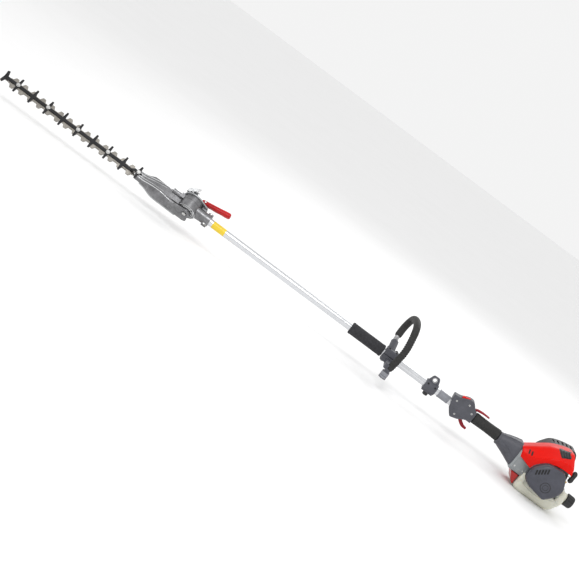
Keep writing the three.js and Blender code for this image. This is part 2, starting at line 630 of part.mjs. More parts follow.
function levers() {
  const trigger = outline([
    [1060, -15, 2], [1070, -15, 2], [1080, -26, 6], [1092, -34, 8], [1104, -36, 2], [1103, -43, 2],
    [1086, -43, 8], [1070, -33, 8], [1060, -22, 3],
  ]);
  piece(pole, 'throttle_trigger', sideways(trigger, [-5.5, 5.5], 1), TRIGGER_RED);
  const lockout = outline([
    [1087, 18, 2], [1095, 18, 2], [1098, 26, 3], [1120, 29, 6], [1142, 29, 2], [1142, 34, 2],
    [1116, 35, 6], [1096, 33, 6], [1087, 27, 3],
  ]);
  piece(pole, 'lockout_lever', sideways(lockout, [-6, 6], 1), TRIGGER_RED);
  const rocker = outline([
    [1034, 30], [1046, 25], [1058, 30], [1058, 47.5, 2], [1046, 44, 6], [1034, 42, 2],
  ]);
  piece(pole, 'stop_switch', sideways(rocker, [-17.4, -4.1], 1), RED_PLASTIC);
}

function rearGrip() {
  const oval = new THREE.Shape().absellipse(0, 4.5, 17.5, 18.8, 0, 2 * Math.PI);
  const sleeve = lengthways(oval, [1100.4, 1199.7], 2, 10);
  const bore = rod('x', POLE_RADIUS + GAP, [1100, 1210], [0, 0], 20);
  piece(pole, 'rear_grip', cut(sleeve, bore), RUBBER);
}

// ---------------------------------------------------------------- engine

const CYLINDER_X = 1365;
const PLUG_HEIGHT = 66;

function clutchAndCrank() {
  piece(pole, 'clutch_cone', turned([
    [1200, POLE_RADIUS + GAP], [1200, 20], [1215, 25.5], [1245, 33], [1272, 43], [1272, 39.5],
    [1245, 30], [1228, 25], [1227, POLE_RADIUS + GAP],
  ]), DARK_PLASTIC);
  const frontBlock = lengthways(rectangle([-46, 46], [-50, 36], 12), [1272.3, 1328], 3);
  const drumRoom = rod('x', 32, [1260, 1322], [0, 0], 22);
  const crankRoom = rod('x', 7.5, [1300, 1410]);
  piece(pole, 'clutch_housing', cut(frontBlock, drumRoom, crankRoom), LIGHT_GREY);
  piece(pole, 'clutch_drum', turned([
    [1248, SHAFT_RADIUS + GAP], [1248, 26], [1252, 29], [1270, 29], [1270, 26.5], [1252.5, 26.5],
    [1252.5, SHAFT_RADIUS + GAP],
  ], 24), STEEL);
  const crankBlock = lengthways(rectangle([-38, 38], [-40, 38], 12), [1328.3, 1402], 2);
  piece(pole, 'crankcase', cut(
    crankBlock,
    rod('x', 30, [1345, 1386], [0, 0], 20),
    crankRoom,
    rod('z', 17.6, [0, 50], [CYLINDER_X, 0], 24),
  ), CASTING);
  const pieces = [
    rod('x', 7, [1262, 1434], [0, 0], 16),
    rod('x', 24.5, [1256, 1268], [0, 0], 18),
    rod('x', 27, [1350, 1358], [0, 0], 18),
    rod('x', 27, [1370, 1378], [0, 0], 18),
  ];
  piece(pole, 'crankshaft', join(...pieces), STEEL);
  piece(pole, 'flywheel', turned([
    [1406, 7.3], [1406, 44], [1424, 44], [1424, 40], [1411, 36], [1411, 14], [1424, 12], [1424, 7.3],
  ], 30), CASTING);
}

function cylinderTop() {
  const core = rod('z', 21, [38.3, 73], [CYLINDER_X, 0], 20);
  const base = box([1340, 1390], [-28, 28], [38.3, 44]);
  const fins = [49, 55.5, 62, 68.5].map((z) => box([1347, 1393], [-33, 33], [z - 1.2, z + 1.2]));
  const ports = box([1354, 1378], [-34, 34], [45, 61]);
  const bore = rod('z', 17.3, [30, 68.5], [CYLINDER_X, 0], 20);
  piece(pole, 'cylinder', cut(join(core, base, ...fins, ports), bore), CASTING);
  const plug = [
    rod('x', 6.5, [1393.3, 1400], [0, PLUG_HEIGHT], 6),
    rod('x', 4.5, [1398, 1410], [0, PLUG_HEIGHT], 12),
    rod('x', 7, [1408, 1422], [0, PLUG_HEIGHT], 14),
  ];
  piece(pole, 'spark_plug', join(...plug), BLACK_PAINT);
  piece(pole, 'muffler', sideways(rectangle([1350, 1400], [26, 75]), [39, 88], 5), STEEL);
}

const SHROUD_WALL = 2;

// The convex solid round sections across X, each [x, [[y, z], ...]].
function around(sections) {
  const points = sections.flatMap(([x, corners]) => corners.map(([y, z]) => [x, y, z]));
  return toGeometry(wasm.Manifold.hull(points));
}

// A section of the shroud: a box of Y and Z whose upper edges are broken.
function shroudSection(left, right, bottom, top, brokenBy, wall) {
  return [
    [left + wall, bottom], [right - wall, bottom], [right - wall, top - brokenBy],
    [right - brokenBy - wall, top - wall], [left + brokenBy + wall, top - wall],
    [left + wall, top - brokenBy],
  ];
}

function shroudBody(wall) {
  return around([
    [1280 - wall, shroudSection(-48.5, 48.5, -10, 38.5, 8, wall)],
    [1316, shroudSection(-66, 50, -10, 55, 14, wall)],
    [1340, shroudSection(-84, 50, -10, 75, 20, wall)],
    [1376, shroudSection(-90, 50, 0, 92, 24, wall)],
    [1416, shroudSection(-90, 50, 20, 106, 24, wall)],
    [1432 - wall, shroudSection(-84, 50, 50, 102, 20, wall)],
  ]);
}

// The filter cover seen from the side, grown on its front and upper edges.
function coverOutline(grow) {
  return outline([
    [1319 - grow, 6, 14], [1352 - grow, 46 + grow, 16], [1408 + grow, 53 + grow, 14],
    [1428 + grow, 28, 12], [1439 + grow, 0, 12], [1430 + grow, -28, 12], [1404, -58 - grow, 16],
    [1342, -47 - grow, 14], [1319 - grow, -32, 12],
  ]);
}

function shrouds() {
  const kept = sideways(outline([
    [1270, -3], [1326, -3, 3], [1338, 18, 8], [1352, 38, 12], [1372, 50, 14], [1404, 57, 12],
    [1440, 57], [1440, 130], [1270, 130],
  ]), [-100, 100]);
  const mufflerSide = box([1319, 1450], [20, 100], [-20, 130]);
  const coverRoom = sideways(coverOutline(1), [-130, -77]);
  const shell = cut(common(shroudBody(0), kept), shroudBody(SHROUD_WALL), mufflerSide, coverRoom);
  piece(pole, 'top_shroud', shell, RED_PLASTIC);
  const guardSide = outline([
    [1320, 36], [1325, 52, 12], [1347, 84, 14], [1382, 97, 14], [1428, 105, 12],
    [1440, 80, 12], [1438, 60], [1402, 60], [1396, 36],
  ]);
  const guardInner = outline([
    [1323, 30], [1328.5, 50.5], [1349, 80.5], [1383, 93.5], [1426, 101], [1436, 79], [1434, 30],
  ]);
  const sidePanel = box([1334, 1396], [92, 96], [12, 42]);
  const slots = [1352, 1366, 1380, 1394, 1408].map((x) => box([x, x + 6], [40, 78], [84, 130]));
  const sideSlots = [1344, 1360, 1376, 1392, 1408].map((x) => box([x, x + 8], [80, 110], [24, 78]));
  const shellAndPanel = join(sideways(guardSide, [20.4, 96], 2.5), sidePanel);
  const vented = cut(shellAndPanel, sideways(guardInner, [0, 92]), ...slots, ...sideSlots);
  piece(pole, 'muffler_guard', vented, BLACK_PAINT);
  const lower = sideways(outline([[1286, -50.5], [1314, -50.5], [1314, -84], [1306, -80]]), [-45, 45], 1);
  piece(pole, 'tank_guard', lower, RED_PLASTIC);
}

function airSide() {
  const coverInner = outline([
    [1323, 4.5, 10], [1354, 42, 12], [1406, 49, 10], [1424.5, 26, 8], [1435, 0, 8], [1426, -26, 8],
    [1402, -54, 12], [1343.5, -43, 10], [1323, -30, 8],
  ]);
  const slots = [0, 1, 2, 3, 4].map((i) => {
    const across = box([-1.7, 1.7], [-130, -96], [-6.5, 6.5]).rotateY(-0.25);
    return across.translate(1333 + 7.2 * i, 0, 6 + 5.6 * i);
  });
  const cover = sideways(coverOutline(0), [-116, -77.5], 4);
  const shell = cut(cover, sideways(coverInner, [-111, -60], 0), ...slots);
  piece(pole, 'air_filter_cover', shell, DARK_PLASTIC);
  piece(pole, 'air_filter', sideways(rectangle([1354, 1404], [-26, 33], 8), [-94, -80]), FOAM);
  const base = sideways(rectangle([1336, 1402], [-30, 43], 12), [-77, -73]);
  const carb = join(
    box([1348, 1384], [-72, -44], [38, 62]),
    rod('y', 10, [-76, -35], [1366, 50], 16),
    rod('z', 8, [20, 40], [1366, -57], 16),
    base,
  );
  piece(pole, 'carburettor', cut(carb, rod('y', 7, [-90, -30], [1366, 50], 14)), CASTING);
  const choke = join(rod('y', 6, [-72, -66], [1416, 4], 16), box([1416, 1444], [-71, -67], [0, 7]));
  piece(pole, 'choke_lever', choke, BLACK_PAINT);
}

function starter() {
  const profile = [
    [1403, 53], [1403, 56], [1430, 56], [1438, 49], [1441, 20], [1441, 9], [1437.5, 9],
    [1435.5, 46], [1428, 53],
  ];
  const ropeHole = rod('x', 3, [1425, 1450], [-30, 38], 12);
  piece(pole, 'starter_housing', cut(turned(profile, 28), ropeHole), DARK_PLASTIC);
  const grip = outline([
    [1444, 25, 5], [1453, 22, 6], [1460, 30, 6], [1460, 58, 6], [1452, 66, 7], [1444, 60, 5],
  ]);
  grip.holes.push(slot(1451.5, 44, 0.5, 2.5));
  const handle = sideways(grip, [-37, -23], 1);
  const rope = rod('x', 1.8, [1408, 1446], [-30, 38], 8);
  piece(pole, 'starter_grip', join(handle, rope), BLACK_PAINT);
}

const CAP_AT = [-30, -24];

function fuelTank() {
  const side = outline([
    [1318, -51, 4], [1328, -50.6, 3], [1332, -41, 3], [1399, -41, 3], [1401, -58, 2],
    [1443, -58, 2], [1443, -6, 6], [1466, -6, 10], [1471, -40, 12],
    [1456, -74, 14], [1424, -90, 10], [1330, -90, 8], [1316, -82, 8],
  ]);
  const body = common(
    sideways(side, [-62, 62]),
    lengthways(outline([
      [-44, -90, 8], [44, -90, 8], [62, -70, 12], [62, -6, 14], [-62, -6, 14], [-62, -70, 12],
    ]), [1300, 1500]),
  );
  const neck = rod('x', 15, [1446, 1474], CAP_AT, 20);
  const filler = rod('x', 12, [1452, 1480], CAP_AT, 20);
  piece(pole, 'fuel_tank', cut(join(body, neck), filler), TANK_PLASTIC);
  const corners = [];
  for (let i = 0; i < 24; i += 1) {
    const angle = (i * Math.PI) / 12;
    const r = i % 2 ? 21.5 : 20;
    corners.push([CAP_AT[0] + r * Math.cos(angle), CAP_AT[1] + r * Math.sin(angle)]);
  }
  const capBody = lengthways(outline(corners), [1474.5, 1502], 1.5);
  const plug = rod('x', 11.5, [1456, 1478], CAP_AT, 20);
  piece(pole, 'fuel_cap', join(capBody, plug), BLACK_PAINT);
}

blades();
guard();
supportBar();
guardBolts();
gearcase();
gearcaseCover();
gearTrain();
neckCasting();
indexPlate();
latch();
headHandle();
pivotBolt();
tiltIdler();
poleAndShaft();
loopHandle();
harnessClamp();
throttleHousing();
levers();
rearGrip();
clutchAndCrank();
cylinderTop();
shrouds();
airSide();
starter();
fuelTank();

export default part;
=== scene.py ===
import json
import math

import bmesh
import bpy
from mathutils import Matrix, Vector
from mathutils.bvhtree import BVHTree

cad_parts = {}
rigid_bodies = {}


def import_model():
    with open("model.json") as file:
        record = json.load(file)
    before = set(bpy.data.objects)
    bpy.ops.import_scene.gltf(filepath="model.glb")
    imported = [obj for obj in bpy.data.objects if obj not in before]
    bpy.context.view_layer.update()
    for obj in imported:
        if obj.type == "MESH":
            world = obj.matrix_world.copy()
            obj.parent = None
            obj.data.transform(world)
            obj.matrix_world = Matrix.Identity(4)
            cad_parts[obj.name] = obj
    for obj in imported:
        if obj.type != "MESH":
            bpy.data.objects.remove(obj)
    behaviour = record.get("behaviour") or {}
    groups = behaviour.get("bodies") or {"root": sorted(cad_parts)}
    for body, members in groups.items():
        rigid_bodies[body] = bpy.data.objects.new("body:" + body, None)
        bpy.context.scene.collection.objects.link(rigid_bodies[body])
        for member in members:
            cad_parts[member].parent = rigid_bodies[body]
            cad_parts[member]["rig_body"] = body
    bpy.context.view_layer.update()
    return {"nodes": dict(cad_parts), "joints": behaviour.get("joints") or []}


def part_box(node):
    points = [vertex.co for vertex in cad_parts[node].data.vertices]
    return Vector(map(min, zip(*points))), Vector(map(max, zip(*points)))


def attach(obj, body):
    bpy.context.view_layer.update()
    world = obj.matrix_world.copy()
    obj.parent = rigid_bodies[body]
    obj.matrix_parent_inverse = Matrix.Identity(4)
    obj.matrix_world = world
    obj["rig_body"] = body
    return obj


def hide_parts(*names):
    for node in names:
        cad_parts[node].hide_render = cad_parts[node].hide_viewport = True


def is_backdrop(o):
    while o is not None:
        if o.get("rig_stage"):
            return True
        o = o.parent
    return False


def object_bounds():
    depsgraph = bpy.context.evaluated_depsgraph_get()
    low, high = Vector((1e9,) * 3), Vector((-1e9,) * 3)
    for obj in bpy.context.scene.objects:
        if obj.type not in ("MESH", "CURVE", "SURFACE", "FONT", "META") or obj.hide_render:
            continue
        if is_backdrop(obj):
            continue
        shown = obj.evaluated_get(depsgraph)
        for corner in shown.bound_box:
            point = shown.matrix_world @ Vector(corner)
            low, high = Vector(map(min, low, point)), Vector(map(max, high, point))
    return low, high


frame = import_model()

# ---------------------------------------------------------------- frames

MM = 0.001
JOINTS = {j["name"]: j for j in frame["joints"]}
PIVOT = Vector(JOINTS["head_tilt"]["pos_m"])
TILT_AXIS = Vector(JOINTS["head_tilt"]["axis"])
ROLL = math.atan2(TILT_AXIS.z, TILT_AXIS.y)

# Millimetres in the pole frame: X is the station from the tilt pivot, Z is from the pole's axis.
POLE = Matrix.Translation(PIVOT) @ Matrix.Scale(MM, 4)
# Millimetres in the head frame: the pole frame rolled so that Y is the tilt axis.
HEAD = Matrix.Translation(PIVOT) @ Matrix.Rotation(ROLL, 4, "X") @ Matrix.Scale(MM, 4)


def pole_box(node):
    """Lowest and highest corner of a CAD node in the pole frame, in millimetres."""
    low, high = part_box(node)
    inverse = POLE.inverted()
    return inverse @ low, inverse @ high


# ---------------------------------------------------------------- finishes

class Graph:
    """A material's node tree, built by name."""

    def __init__(self, name):
        self.material = bpy.data.materials.new(name)
        self.material.use_nodes = True
        self.tree = self.material.node_tree
        self.tree.nodes.clear()
        self.output = self.add("ShaderNodeOutputMaterial")
        self.shader = self.add("ShaderNodeBsdfPrincipled")
        self.join(self.shader, "BSDF", self.output, "Surface")
        self.place = self.add("ShaderNodeTexCoord")

    def add(self, kind, **sockets):
        node = self.tree.nodes.new(kind)
        for key, value in sockets.items():
            node.inputs[key.replace("_", " ")].default_value = value
        return node

    def join(self, a, out, b, into):
        self.tree.links.new(a.outputs[out], b.inputs[into])

    def stretched(self, stretch):
        mapping = self.add("ShaderNodeMapping")
        mapping.inputs["Scale"].default_value = stretch
        self.join(self.place, "Object", mapping, "Vector")
        return mapping

    def noise(self, scale, detail=4.0, rough=0.55, stretch=(1, 1, 1)):
        node = self.add("ShaderNodeTexNoise", Scale=scale, Detail=detail, Roughness=rough)
        self.join(self.stretched(stretch), "Vector", node, "Vector")
        return node

    def cells(self, scale):
        node = self.add("ShaderNodeTexVoronoi", Scale=scale)
        self.join(self.stretched((1, 1, 1)), "Vector", node, "Vector")
        return node

    def ramp(self, source, out, stops):
        node = self.add("ShaderNodeValToRGB")
        elements = node.color_ramp.elements
        while len(elements) < len(stops):
            elements.new(0.5)
        for element, (at, colour) in zip(elements, stops):
            element.position = at
            element.color = (*colour, 1)
        self.join(source, out, node, "Fac")
        return node

    def spread(self, source, out, low, high):
        node = self.add("ShaderNodeMapRange", From_Min=0.3, From_Max=0.7, To_Min=low, To_Max=high)
        self.join(source, out, node, "Value")
        return node

    def bump(self, source, out, strength, distance, under=None):
        node = self.add("ShaderNodeBump", Strength=strength, Distance=distance)
        self.join(source, out, node, "Height")
        if under:
            self.join(under, "Normal", node, "Normal")
        return node

    def mixed(self, factor, first, second, blend="MIX"):
        node = self.add("ShaderNodeMix")
        node.data_type = "RGBA"
        node.blend_type = blend
        if isinstance(factor, float):
            node.inputs["Factor"].default_value = factor
        else:
            self.tree.links.new(factor, node.inputs["Factor"])
        self.tree.links.new(first, node.inputs["A"])
        self.tree.links.new(second, node.inputs["B"])
        return node


def scaled(colour, share):
    return tuple(min(1.0, c * share) for c in colour)


def finish(name, colour, rough, metal=0.0, contrast=0.18, patch=22.0, grain=900.0, relief=0.12,
           depth=0.00015, stretch=(1, 1, 1), coat=0.0, cells=None, soil=0.12, shine_spread=0.12,
           subsurface=0.0, specular=0.5):
    """A mottled, grained surface: broad patches, fine grain in colour and relief, and uneven shine."""
    g = Graph(name)
    broad = g.noise(patch, 5.0, 0.6, stretch)
    fine = g.noise(grain, 3.0, 0.6, stretch)
    base = g.ramp(broad, "Fac", [
        (0.28, scaled(colour, 1 - contrast)), (0.5, colour), (0.74, scaled(colour, 1 + contrast)),
    ])
    speckle = g.ramp(fine, "Fac", [(0.3, (1 - contrast,) * 3), (0.7, (1, 1, 1))])
    grained = g.mixed(0.8, base.outputs["Color"], speckle.outputs["Color"], "MULTIPLY")
    dust = g.noise(patch * 3.1, 6.0, 0.7)
    veil = g.ramp(dust, "Fac", [(0.45, (1, 1, 1)), (0.8, (1 - soil, 1 - soil, 1 - 1.15 * soil))])
    final = g.mixed(1.0, grained.outputs["Result"], veil.outputs["Color"], "MULTIPLY")
    g.tree.links.new(final.outputs["Result"], g.shader.inputs["Base Color"])
    shine = g.spread(dust, "Fac", max(0.03, rough - shine_spread), min(1.0, rough + shine_spread))
    g.join(shine, "Result", g.shader, "Roughness")
    normal = g.bump(fine, "Fac", relief, depth)
    if cells:
        pits = g.cells(cells)
        normal = g.bump(pits, "Distance", 0.55, 0.0006, normal)
    wave = g.noise(patch * 0.8, 2.0, 0.5)
    normal = g.bump(wave, "Fac", 0.08, 0.0012, normal)
    g.join(normal, "Normal", g.shader, "Normal")
    g.shader.inputs["Metallic"].default_value = metal
    g.shader.inputs["Coat Weight"].default_value = coat
    g.shader.inputs["Coat Roughness"].default_value = 0.12
    g.shader.inputs["Subsurface Weight"].default_value = subsurface
    g.shader.inputs["Subsurface Radius"].default_value = (0.012, 0.010, 0.007)
    g.shader.inputs["Specular IOR Level"].default_value = specular
    return g.material


# The cast finish is kept darker than bare aluminium. This is partly painted shade, to set it off against its
# bright copy below.
CAST = finish("cast_aluminium", (0.25, 0.25, 0.26), 0.34, metal=0.85, contrast=0.34, patch=34,
              grain=1500, relief=0.45, depth=0.0003, soil=0.22)
# Painted highlight: a lit copy of the cast finish, used on the gear case ridges and the joint's raised arcs.
PAINTED_HIGHLIGHT_CAST = finish("painted_highlight_ridge", (0.78, 0.79, 0.80), 0.2, metal=0.95, contrast=0.1, patch=40,
                     grain=1200, relief=0.12)
SHEET = finish("cover_sheet", (0.46, 0.47, 0.48), 0.34, metal=0.85, contrast=0.16, patch=30,
               grain=1400, relief=0.3, depth=0.0002)
TUBE = finish("drawn_tube", (0.66, 0.67, 0.69), 0.24, metal=0.9, contrast=0.07, patch=16,
              grain=700, relief=0.1, stretch=(0.06, 1, 1), soil=0.05)
BLADE = finish("ground_steel", (0.36, 0.34, 0.31), 0.33, metal=0.9, contrast=0.3, patch=26,
               grain=900, relief=0.2, stretch=(1, 0.12, 0.12), soil=0.3)
OXIDE = finish("black_oxide", (0.022, 0.022, 0.024), 0.42, metal=0.55, contrast=0.35, patch=50,
               grain=1400, relief=0.25, soil=0.2)
ZINC = finish("zinc_plate", (0.64, 0.64, 0.63), 0.27, metal=0.95, contrast=0.14, patch=90,
              grain=1600, relief=0.15)
STEEL = finish("turned_steel", (0.42, 0.42, 0.43), 0.3, metal=0.95, contrast=0.2, patch=60,
               grain=1100, relief=0.2, stretch=(1, 0.2, 0.2))
LATCH = finish("dark_latch", (0.05, 0.055, 0.06), 0.45, metal=0.5, contrast=0.3, patch=60,
               grain=1300, relief=0.3)
SILVER = finish("cast_silver", (0.60, 0.61, 0.62), 0.3, metal=0.9, contrast=0.18, patch=55,
                grain=1400, relief=0.3)
LIGHT_GREY = finish("sleeve_grey", (0.22, 0.225, 0.25), 0.5, contrast=0.14, patch=45, grain=1500,
                    relief=0.2)
BOX_GREY = finish("clutch_grey", (0.30, 0.32, 0.33), 0.46, metal=0.25, contrast=0.13, patch=40,
                  grain=1500, relief=0.4, depth=0.0002)
GREY_PLASTIC = finish("graphite_plastic", (0.068, 0.07, 0.085), 0.5, contrast=0.16, patch=38,
                      grain=1700, relief=0.4, depth=0.00018, soil=0.1)
COVER_BLUE = finish("filter_cover_plastic", (0.05, 0.052, 0.07), 0.43, contrast=0.18, patch=30,
                    grain=1700, relief=0.4, depth=0.00018, coat=0.08)
BLACK_PLASTIC = finish("black_plastic", (0.016, 0.016, 0.017), 0.48, contrast=0.3, patch=45,
                       grain=1700, relief=0.4, depth=0.0002)
RED = finish("shroud_red", (0.72, 0.006, 0.002), 0.32, contrast=0.09, patch=14, grain=1300,
             relief=0.06, coat=0.04, soil=0.05, shine_spread=0.06, specular=0.12)
DARK_RED = finish("guard_red", (0.40, 0.006, 0.004), 0.36, contrast=0.12, patch=20, grain=1300,
                  relief=0.1, coat=0.15, soil=0.08)
HANDLE_RED = finish("handle_red", (0.50, 0.006, 0.009), 0.36, contrast=0.14, patch=30, grain=1500,
                    relief=0.18, coat=0.12, soil=0.08, specular=0.25)
TRIGGER_RED = finish("trigger_red", (0.27, 0.004, 0.014), 0.4, contrast=0.16, patch=40, grain=1500,
                     relief=0.2, coat=0.1, specular=0.25)
FOAM = finish("closed_cell_foam", (0.028, 0.028, 0.032), 0.85, contrast=0.3, patch=60, grain=1100,
              relief=0.6, depth=0.0005, cells=520.0)
RUBBER = finish("moulded_rubber", (0.017, 0.017, 0.016), 0.68, contrast=0.3, patch=60, grain=1500,
                relief=0.5, depth=0.0003)
TANK = finish("tank_plastic", (0.66, 0.655, 0.56), 0.4, contrast=0.06, patch=12, grain=900,
              relief=0.15, subsurface=0.35, soil=0.07)
YELLOW = finish("yellow_band", (0.78, 0.56, 0.02), 0.4, contrast=0.08, patch=30, grain=1200,
                relief=0.1, coat=0.2, soil=0.08)
BRASS = finish("brass", (0.60, 0.40, 0.14), 0.3, metal=0.95, contrast=0.2, patch=80, grain=1300)
NYLON = finish("nylon", (0.6, 0.56, 0.45), 0.5, contrast=0.1, subsurface=0.2)
# Painted shade: a black finish put where openings are dark only from shade inside them.
SHADOW = finish("painted_recess_shade", (0.006, 0.006, 0.007), 0.7, contrast=0.3, patch=60)

# ---------------------------------------------------------------- mesh tools

SMOOTH_ANGLE = math.radians(32)


def smooth(mesh, angle=SMOOTH_ANGLE):
    mesh.polygons.foreach_set("use_smooth", [True] * len(mesh.polygons))
    mesh.set_sharp_from_angle(angle=angle)


def soften(obj, width, segments=2, angle=30):
    """Rounds the sharp edges of an object and evens its shading."""
    bevel = obj.modifiers.new("rounded_edges", "BEVEL")
    bevel.width = width * MM
    bevel.segments = segments
    bevel.limit_method = "ANGLE"
    bevel.angle_limit = math.radians(angle)
    bevel.use_clamp_overlap = True
    bevel.harden_normals = False
    even = obj.modifiers.new("even_shading", "WEIGHTED_NORMAL")
    even.keep_sharp = True
    return obj


def piece(name, shape, place, material, body, edge=0.0, segments=2, replaces=(),
          angle=SMOOTH_ANGLE):
    """Makes an object from (points in millimetres, faces) and puts it on its CAD body."""
    points, faces = shape
    mesh = bpy.data.meshes.new(name)
    mesh.from_pydata([place @ Vector(p) for p in points], [], faces)
    mesh.validate()
    shell = bmesh.new()
    shell.from_mesh(mesh)
    bmesh.ops.remove_doubles(shell, verts=shell.verts, dist=1e-6)
    bmesh.ops.recalc_face_normals(shell, faces=shell.faces)
    shell.to_mesh(mesh)
    shell.free()
    smooth(mesh, angle)
    mesh.materials.append(material)
    obj = bpy.data.objects.new(name, mesh)
    bpy.context.scene.collection.objects.link(obj)
    if edge:
        soften(obj, edge, segments)
    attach(obj, body)
    if replaces:
        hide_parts(*replaces)
    return obj


def merged(*shapes):
    points, faces = [], []
    for part_points, part_faces in shapes:
        base = len(points)
        points += list(part_points)
        faces += [tuple(base + i for i in face) for face in part_faces]
    return points, faces


def loft(loops, closed=False, capped=True):
    """A skin through loops of the same number of points. Closed joins the last to the first."""
    count = len(loops[0])
    points = [Vector(p) for loop in loops for p in loop]
    faces = []
    last = len(loops) if closed else len(loops) - 1
    for i in range(last):
        a, b = i * count, ((i + 1) % len(loops)) * count
        for k in range(count):
            n = (k + 1) % count
            faces.append((a + k, a + n, b + n, b + k))
    if capped and not closed:
        faces.append(tuple(range(count))[::-1])
        faces.append(tuple((len(loops) - 1) * count + k for k in range(count)))
    return points, faces


AXES = {
    "x": lambda a, u, v: Vector((a, u, v)),
    "y": lambda a, u, v: Vector((u, a, v)),
    "z": lambda a, u, v: Vector((u, v, a)),
}


def ring(axis, at, radius, centre=(0, 0), sides=64, flat=1.0):
    to = AXES[axis]
    return [
        to(at, centre[0] + radius * math.cos(t), centre[1] + flat * radius * math.sin(t))
        for t in (2 * math.pi * i / sides for i in range(sides))
    ]


def turned(axis, profile, centre=(0, 0), sides=64, closed=False):
    """A solid of revolution. Closed makes a tube whose profile runs back to its start."""
    loops = [ring(axis, at, max(radius, 0.01), centre, sides) for at, radius in profile]
    return loft(loops, closed=closed)


def rounded(corners, radius=0.0, steps=5):
    """A polygon with rounded corners, as points. A corner is (x, y) or (x, y, own radius)."""
    out = []
    count = len(corners)
    for i, corner in enumerate(corners):
        point = Vector(corner[:2])
        before = Vector(corners[i - 1][:2]) - point
        after = Vector(corners[(i + 1) % count][:2]) - point
        own = corner[2] if len(corner) > 2 else radius
        reach = min(own, 0.47 * min(before.length, after.length))
        if reach <= 0:
            out.append(point)
            continue
        a = point + before.normalized() * reach
        b = point + after.normalized() * reach
        for k in range(steps + 1):
            t = k / steps
            out.append(a.lerp(point, t).lerp(point.lerp(b, t), t))
    return out


def area(loop):
    return 0.5 * sum(
        loop[i - 1].x * loop[i].y - loop[i].x * loop[i - 1].y for i in range(len(loop))
    )


def inset(loop, distance):
    """The loop moved inwards by a distance, corner by corner."""
    sign = 1 if area(loop) > 0 else -1
    out = []
    count = len(loop)
    for i in range(count):
        before = (loop[i] - loop[i - 1])
        after = (loop[(i + 1) % count] - loop[i])
        if before.length < 1e-6 or after.length < 1e-6:
            before = after = loop[(i + 1) % count] - loop[i - 2]
        n1 = Vector((-before.y, before.x)).normalized()
        n2 = Vector((-after.y, after.x)).normalized()
        n = n1 + n2
        n = n.normalized() if n.length > 1e-6 else n1
        stretch = 1 / max(0.5, n.dot(n1))
        out.append(loop[i] + n * (sign * distance * stretch))
    return out


PLANES = {
    "xz": lambda p, d: Vector((p.x, d, p.y)),
    "xy": lambda p, d: Vector((p.x, p.y, d)),
    "yz": lambda p, d: Vector((d, p.x, p.y)),
}


def block(plane, loop, span, edge=0.0, steps=4, first=True, last=True):
    """A drawing pushed through a span, with its two rims rounded over."""
    to = PLANES[plane]
    low, high = min(span), max(span)
    rows = []
    quarter = [math.pi / 2 * k / steps for k in range(steps + 1)]
    if edge and first:
        rows += [(low + edge * (1 - math.sin(t)), edge * (1 - math.cos(t))) for t in quarter[::-1]]
    else:
        rows.append((low, 0.0))
    if edge and last:
        rows += [(high - edge * (1 - math.sin(t)), edge * (1 - math.cos(t))) for t in quarter]
    else:
        rows.append((high, 0.0))
    return loft([[to(p, d) for p in (inset(loop, e) if e else loop)] for d, e in rows])


def spline(points, count):
    """Evenly stepped points along a smooth curve through the given ones."""
    ends = [2 * Vector(points[0]) - Vector(points[1]), *map(Vector, points),
            2 * Vector(points[-1]) - Vector(points[-2])]
    dense = []
    for i in range(1, len(ends) - 2):
        a, b, c, d = ends[i - 1:i + 3]
        for k in range(24):
            t = k / 24
            dense.append(0.5 * ((2 * b) + (c - a) * t + (2 * a - 5 * b + 4 * c - d) * t * t
                                + (3 * b - a - 3 * c + d) * t ** 3))
    dense.append(Vector(points[-1]))
    lengths = [0.0]
    for a, b in zip(dense, dense[1:]):
        lengths.append(lengths[-1] + (b - a).length)
    out, j = [], 0
    for i in range(count):
        want = lengths[-1] * i / (count - 1)
        while j < len(lengths) - 2 and lengths[j + 1] < want:
            j += 1
        step = lengths[j + 1] - lengths[j]
        out.append(dense[j].lerp(dense[j + 1], (want - lengths[j]) / step if step else 0))
    return out


def sweep(path, radius, sides=24, wide=1.0):
    """A round bar along a path. radius is a number or a function of the share of the way."""
    loops = []
    side = None
    for i, point in enumerate(path):
        ahead = (path[min(i + 1, len(path) - 1)] - path[max(i - 1, 0)]).normalized()
        if side is None:
            side = ahead.orthogonal().normalized()
        side = (side - ahead * side.dot(ahead)).normalized()
        up = ahead.cross(side)
        share = i / (len(path) - 1)
        r = radius(share) if callable(radius) else radius
        loops.append([
            point + side * (r * wide * math.cos(t)) + up * (r * math.sin(t))
            for t in (2 * math.pi * k / sides for k in range(sides))
        ])
    return loft(loops)


def screw(axis, at, centre, radius, height, sides=24, out=1):
    """A socket head: a chamfered button with a hexagonal recess, standing out along an axis."""
    def hexagon(level, size):
        loop = []
        for i in range(sides):
            t = 2 * math.pi * i / sides
            local = (t % (math.pi / 3)) - math.pi / 6
            loop.append(AXES[axis](level, centre[0] + size * math.cos(t) / math.cos(local),
                                   centre[1] + size * math.sin(t) / math.cos(local)))
        return loop
    rows = [(0, radius), (0.75, radius), (0.94, 0.93 * radius), (1.0, 0.82 * radius)]
    loops = [ring(axis, at + out * height * k, r, centre, sides) for k, r in rows]
    loops.append(hexagon(at + out * height, 0.45 * radius))
    loops.append(hexagon(at + out * height * 0.45, 0.42 * radius))
    return loft(loops)


WELD_DISTANCE = 3e-6
FLAT_ANGLE = math.radians(0.8)


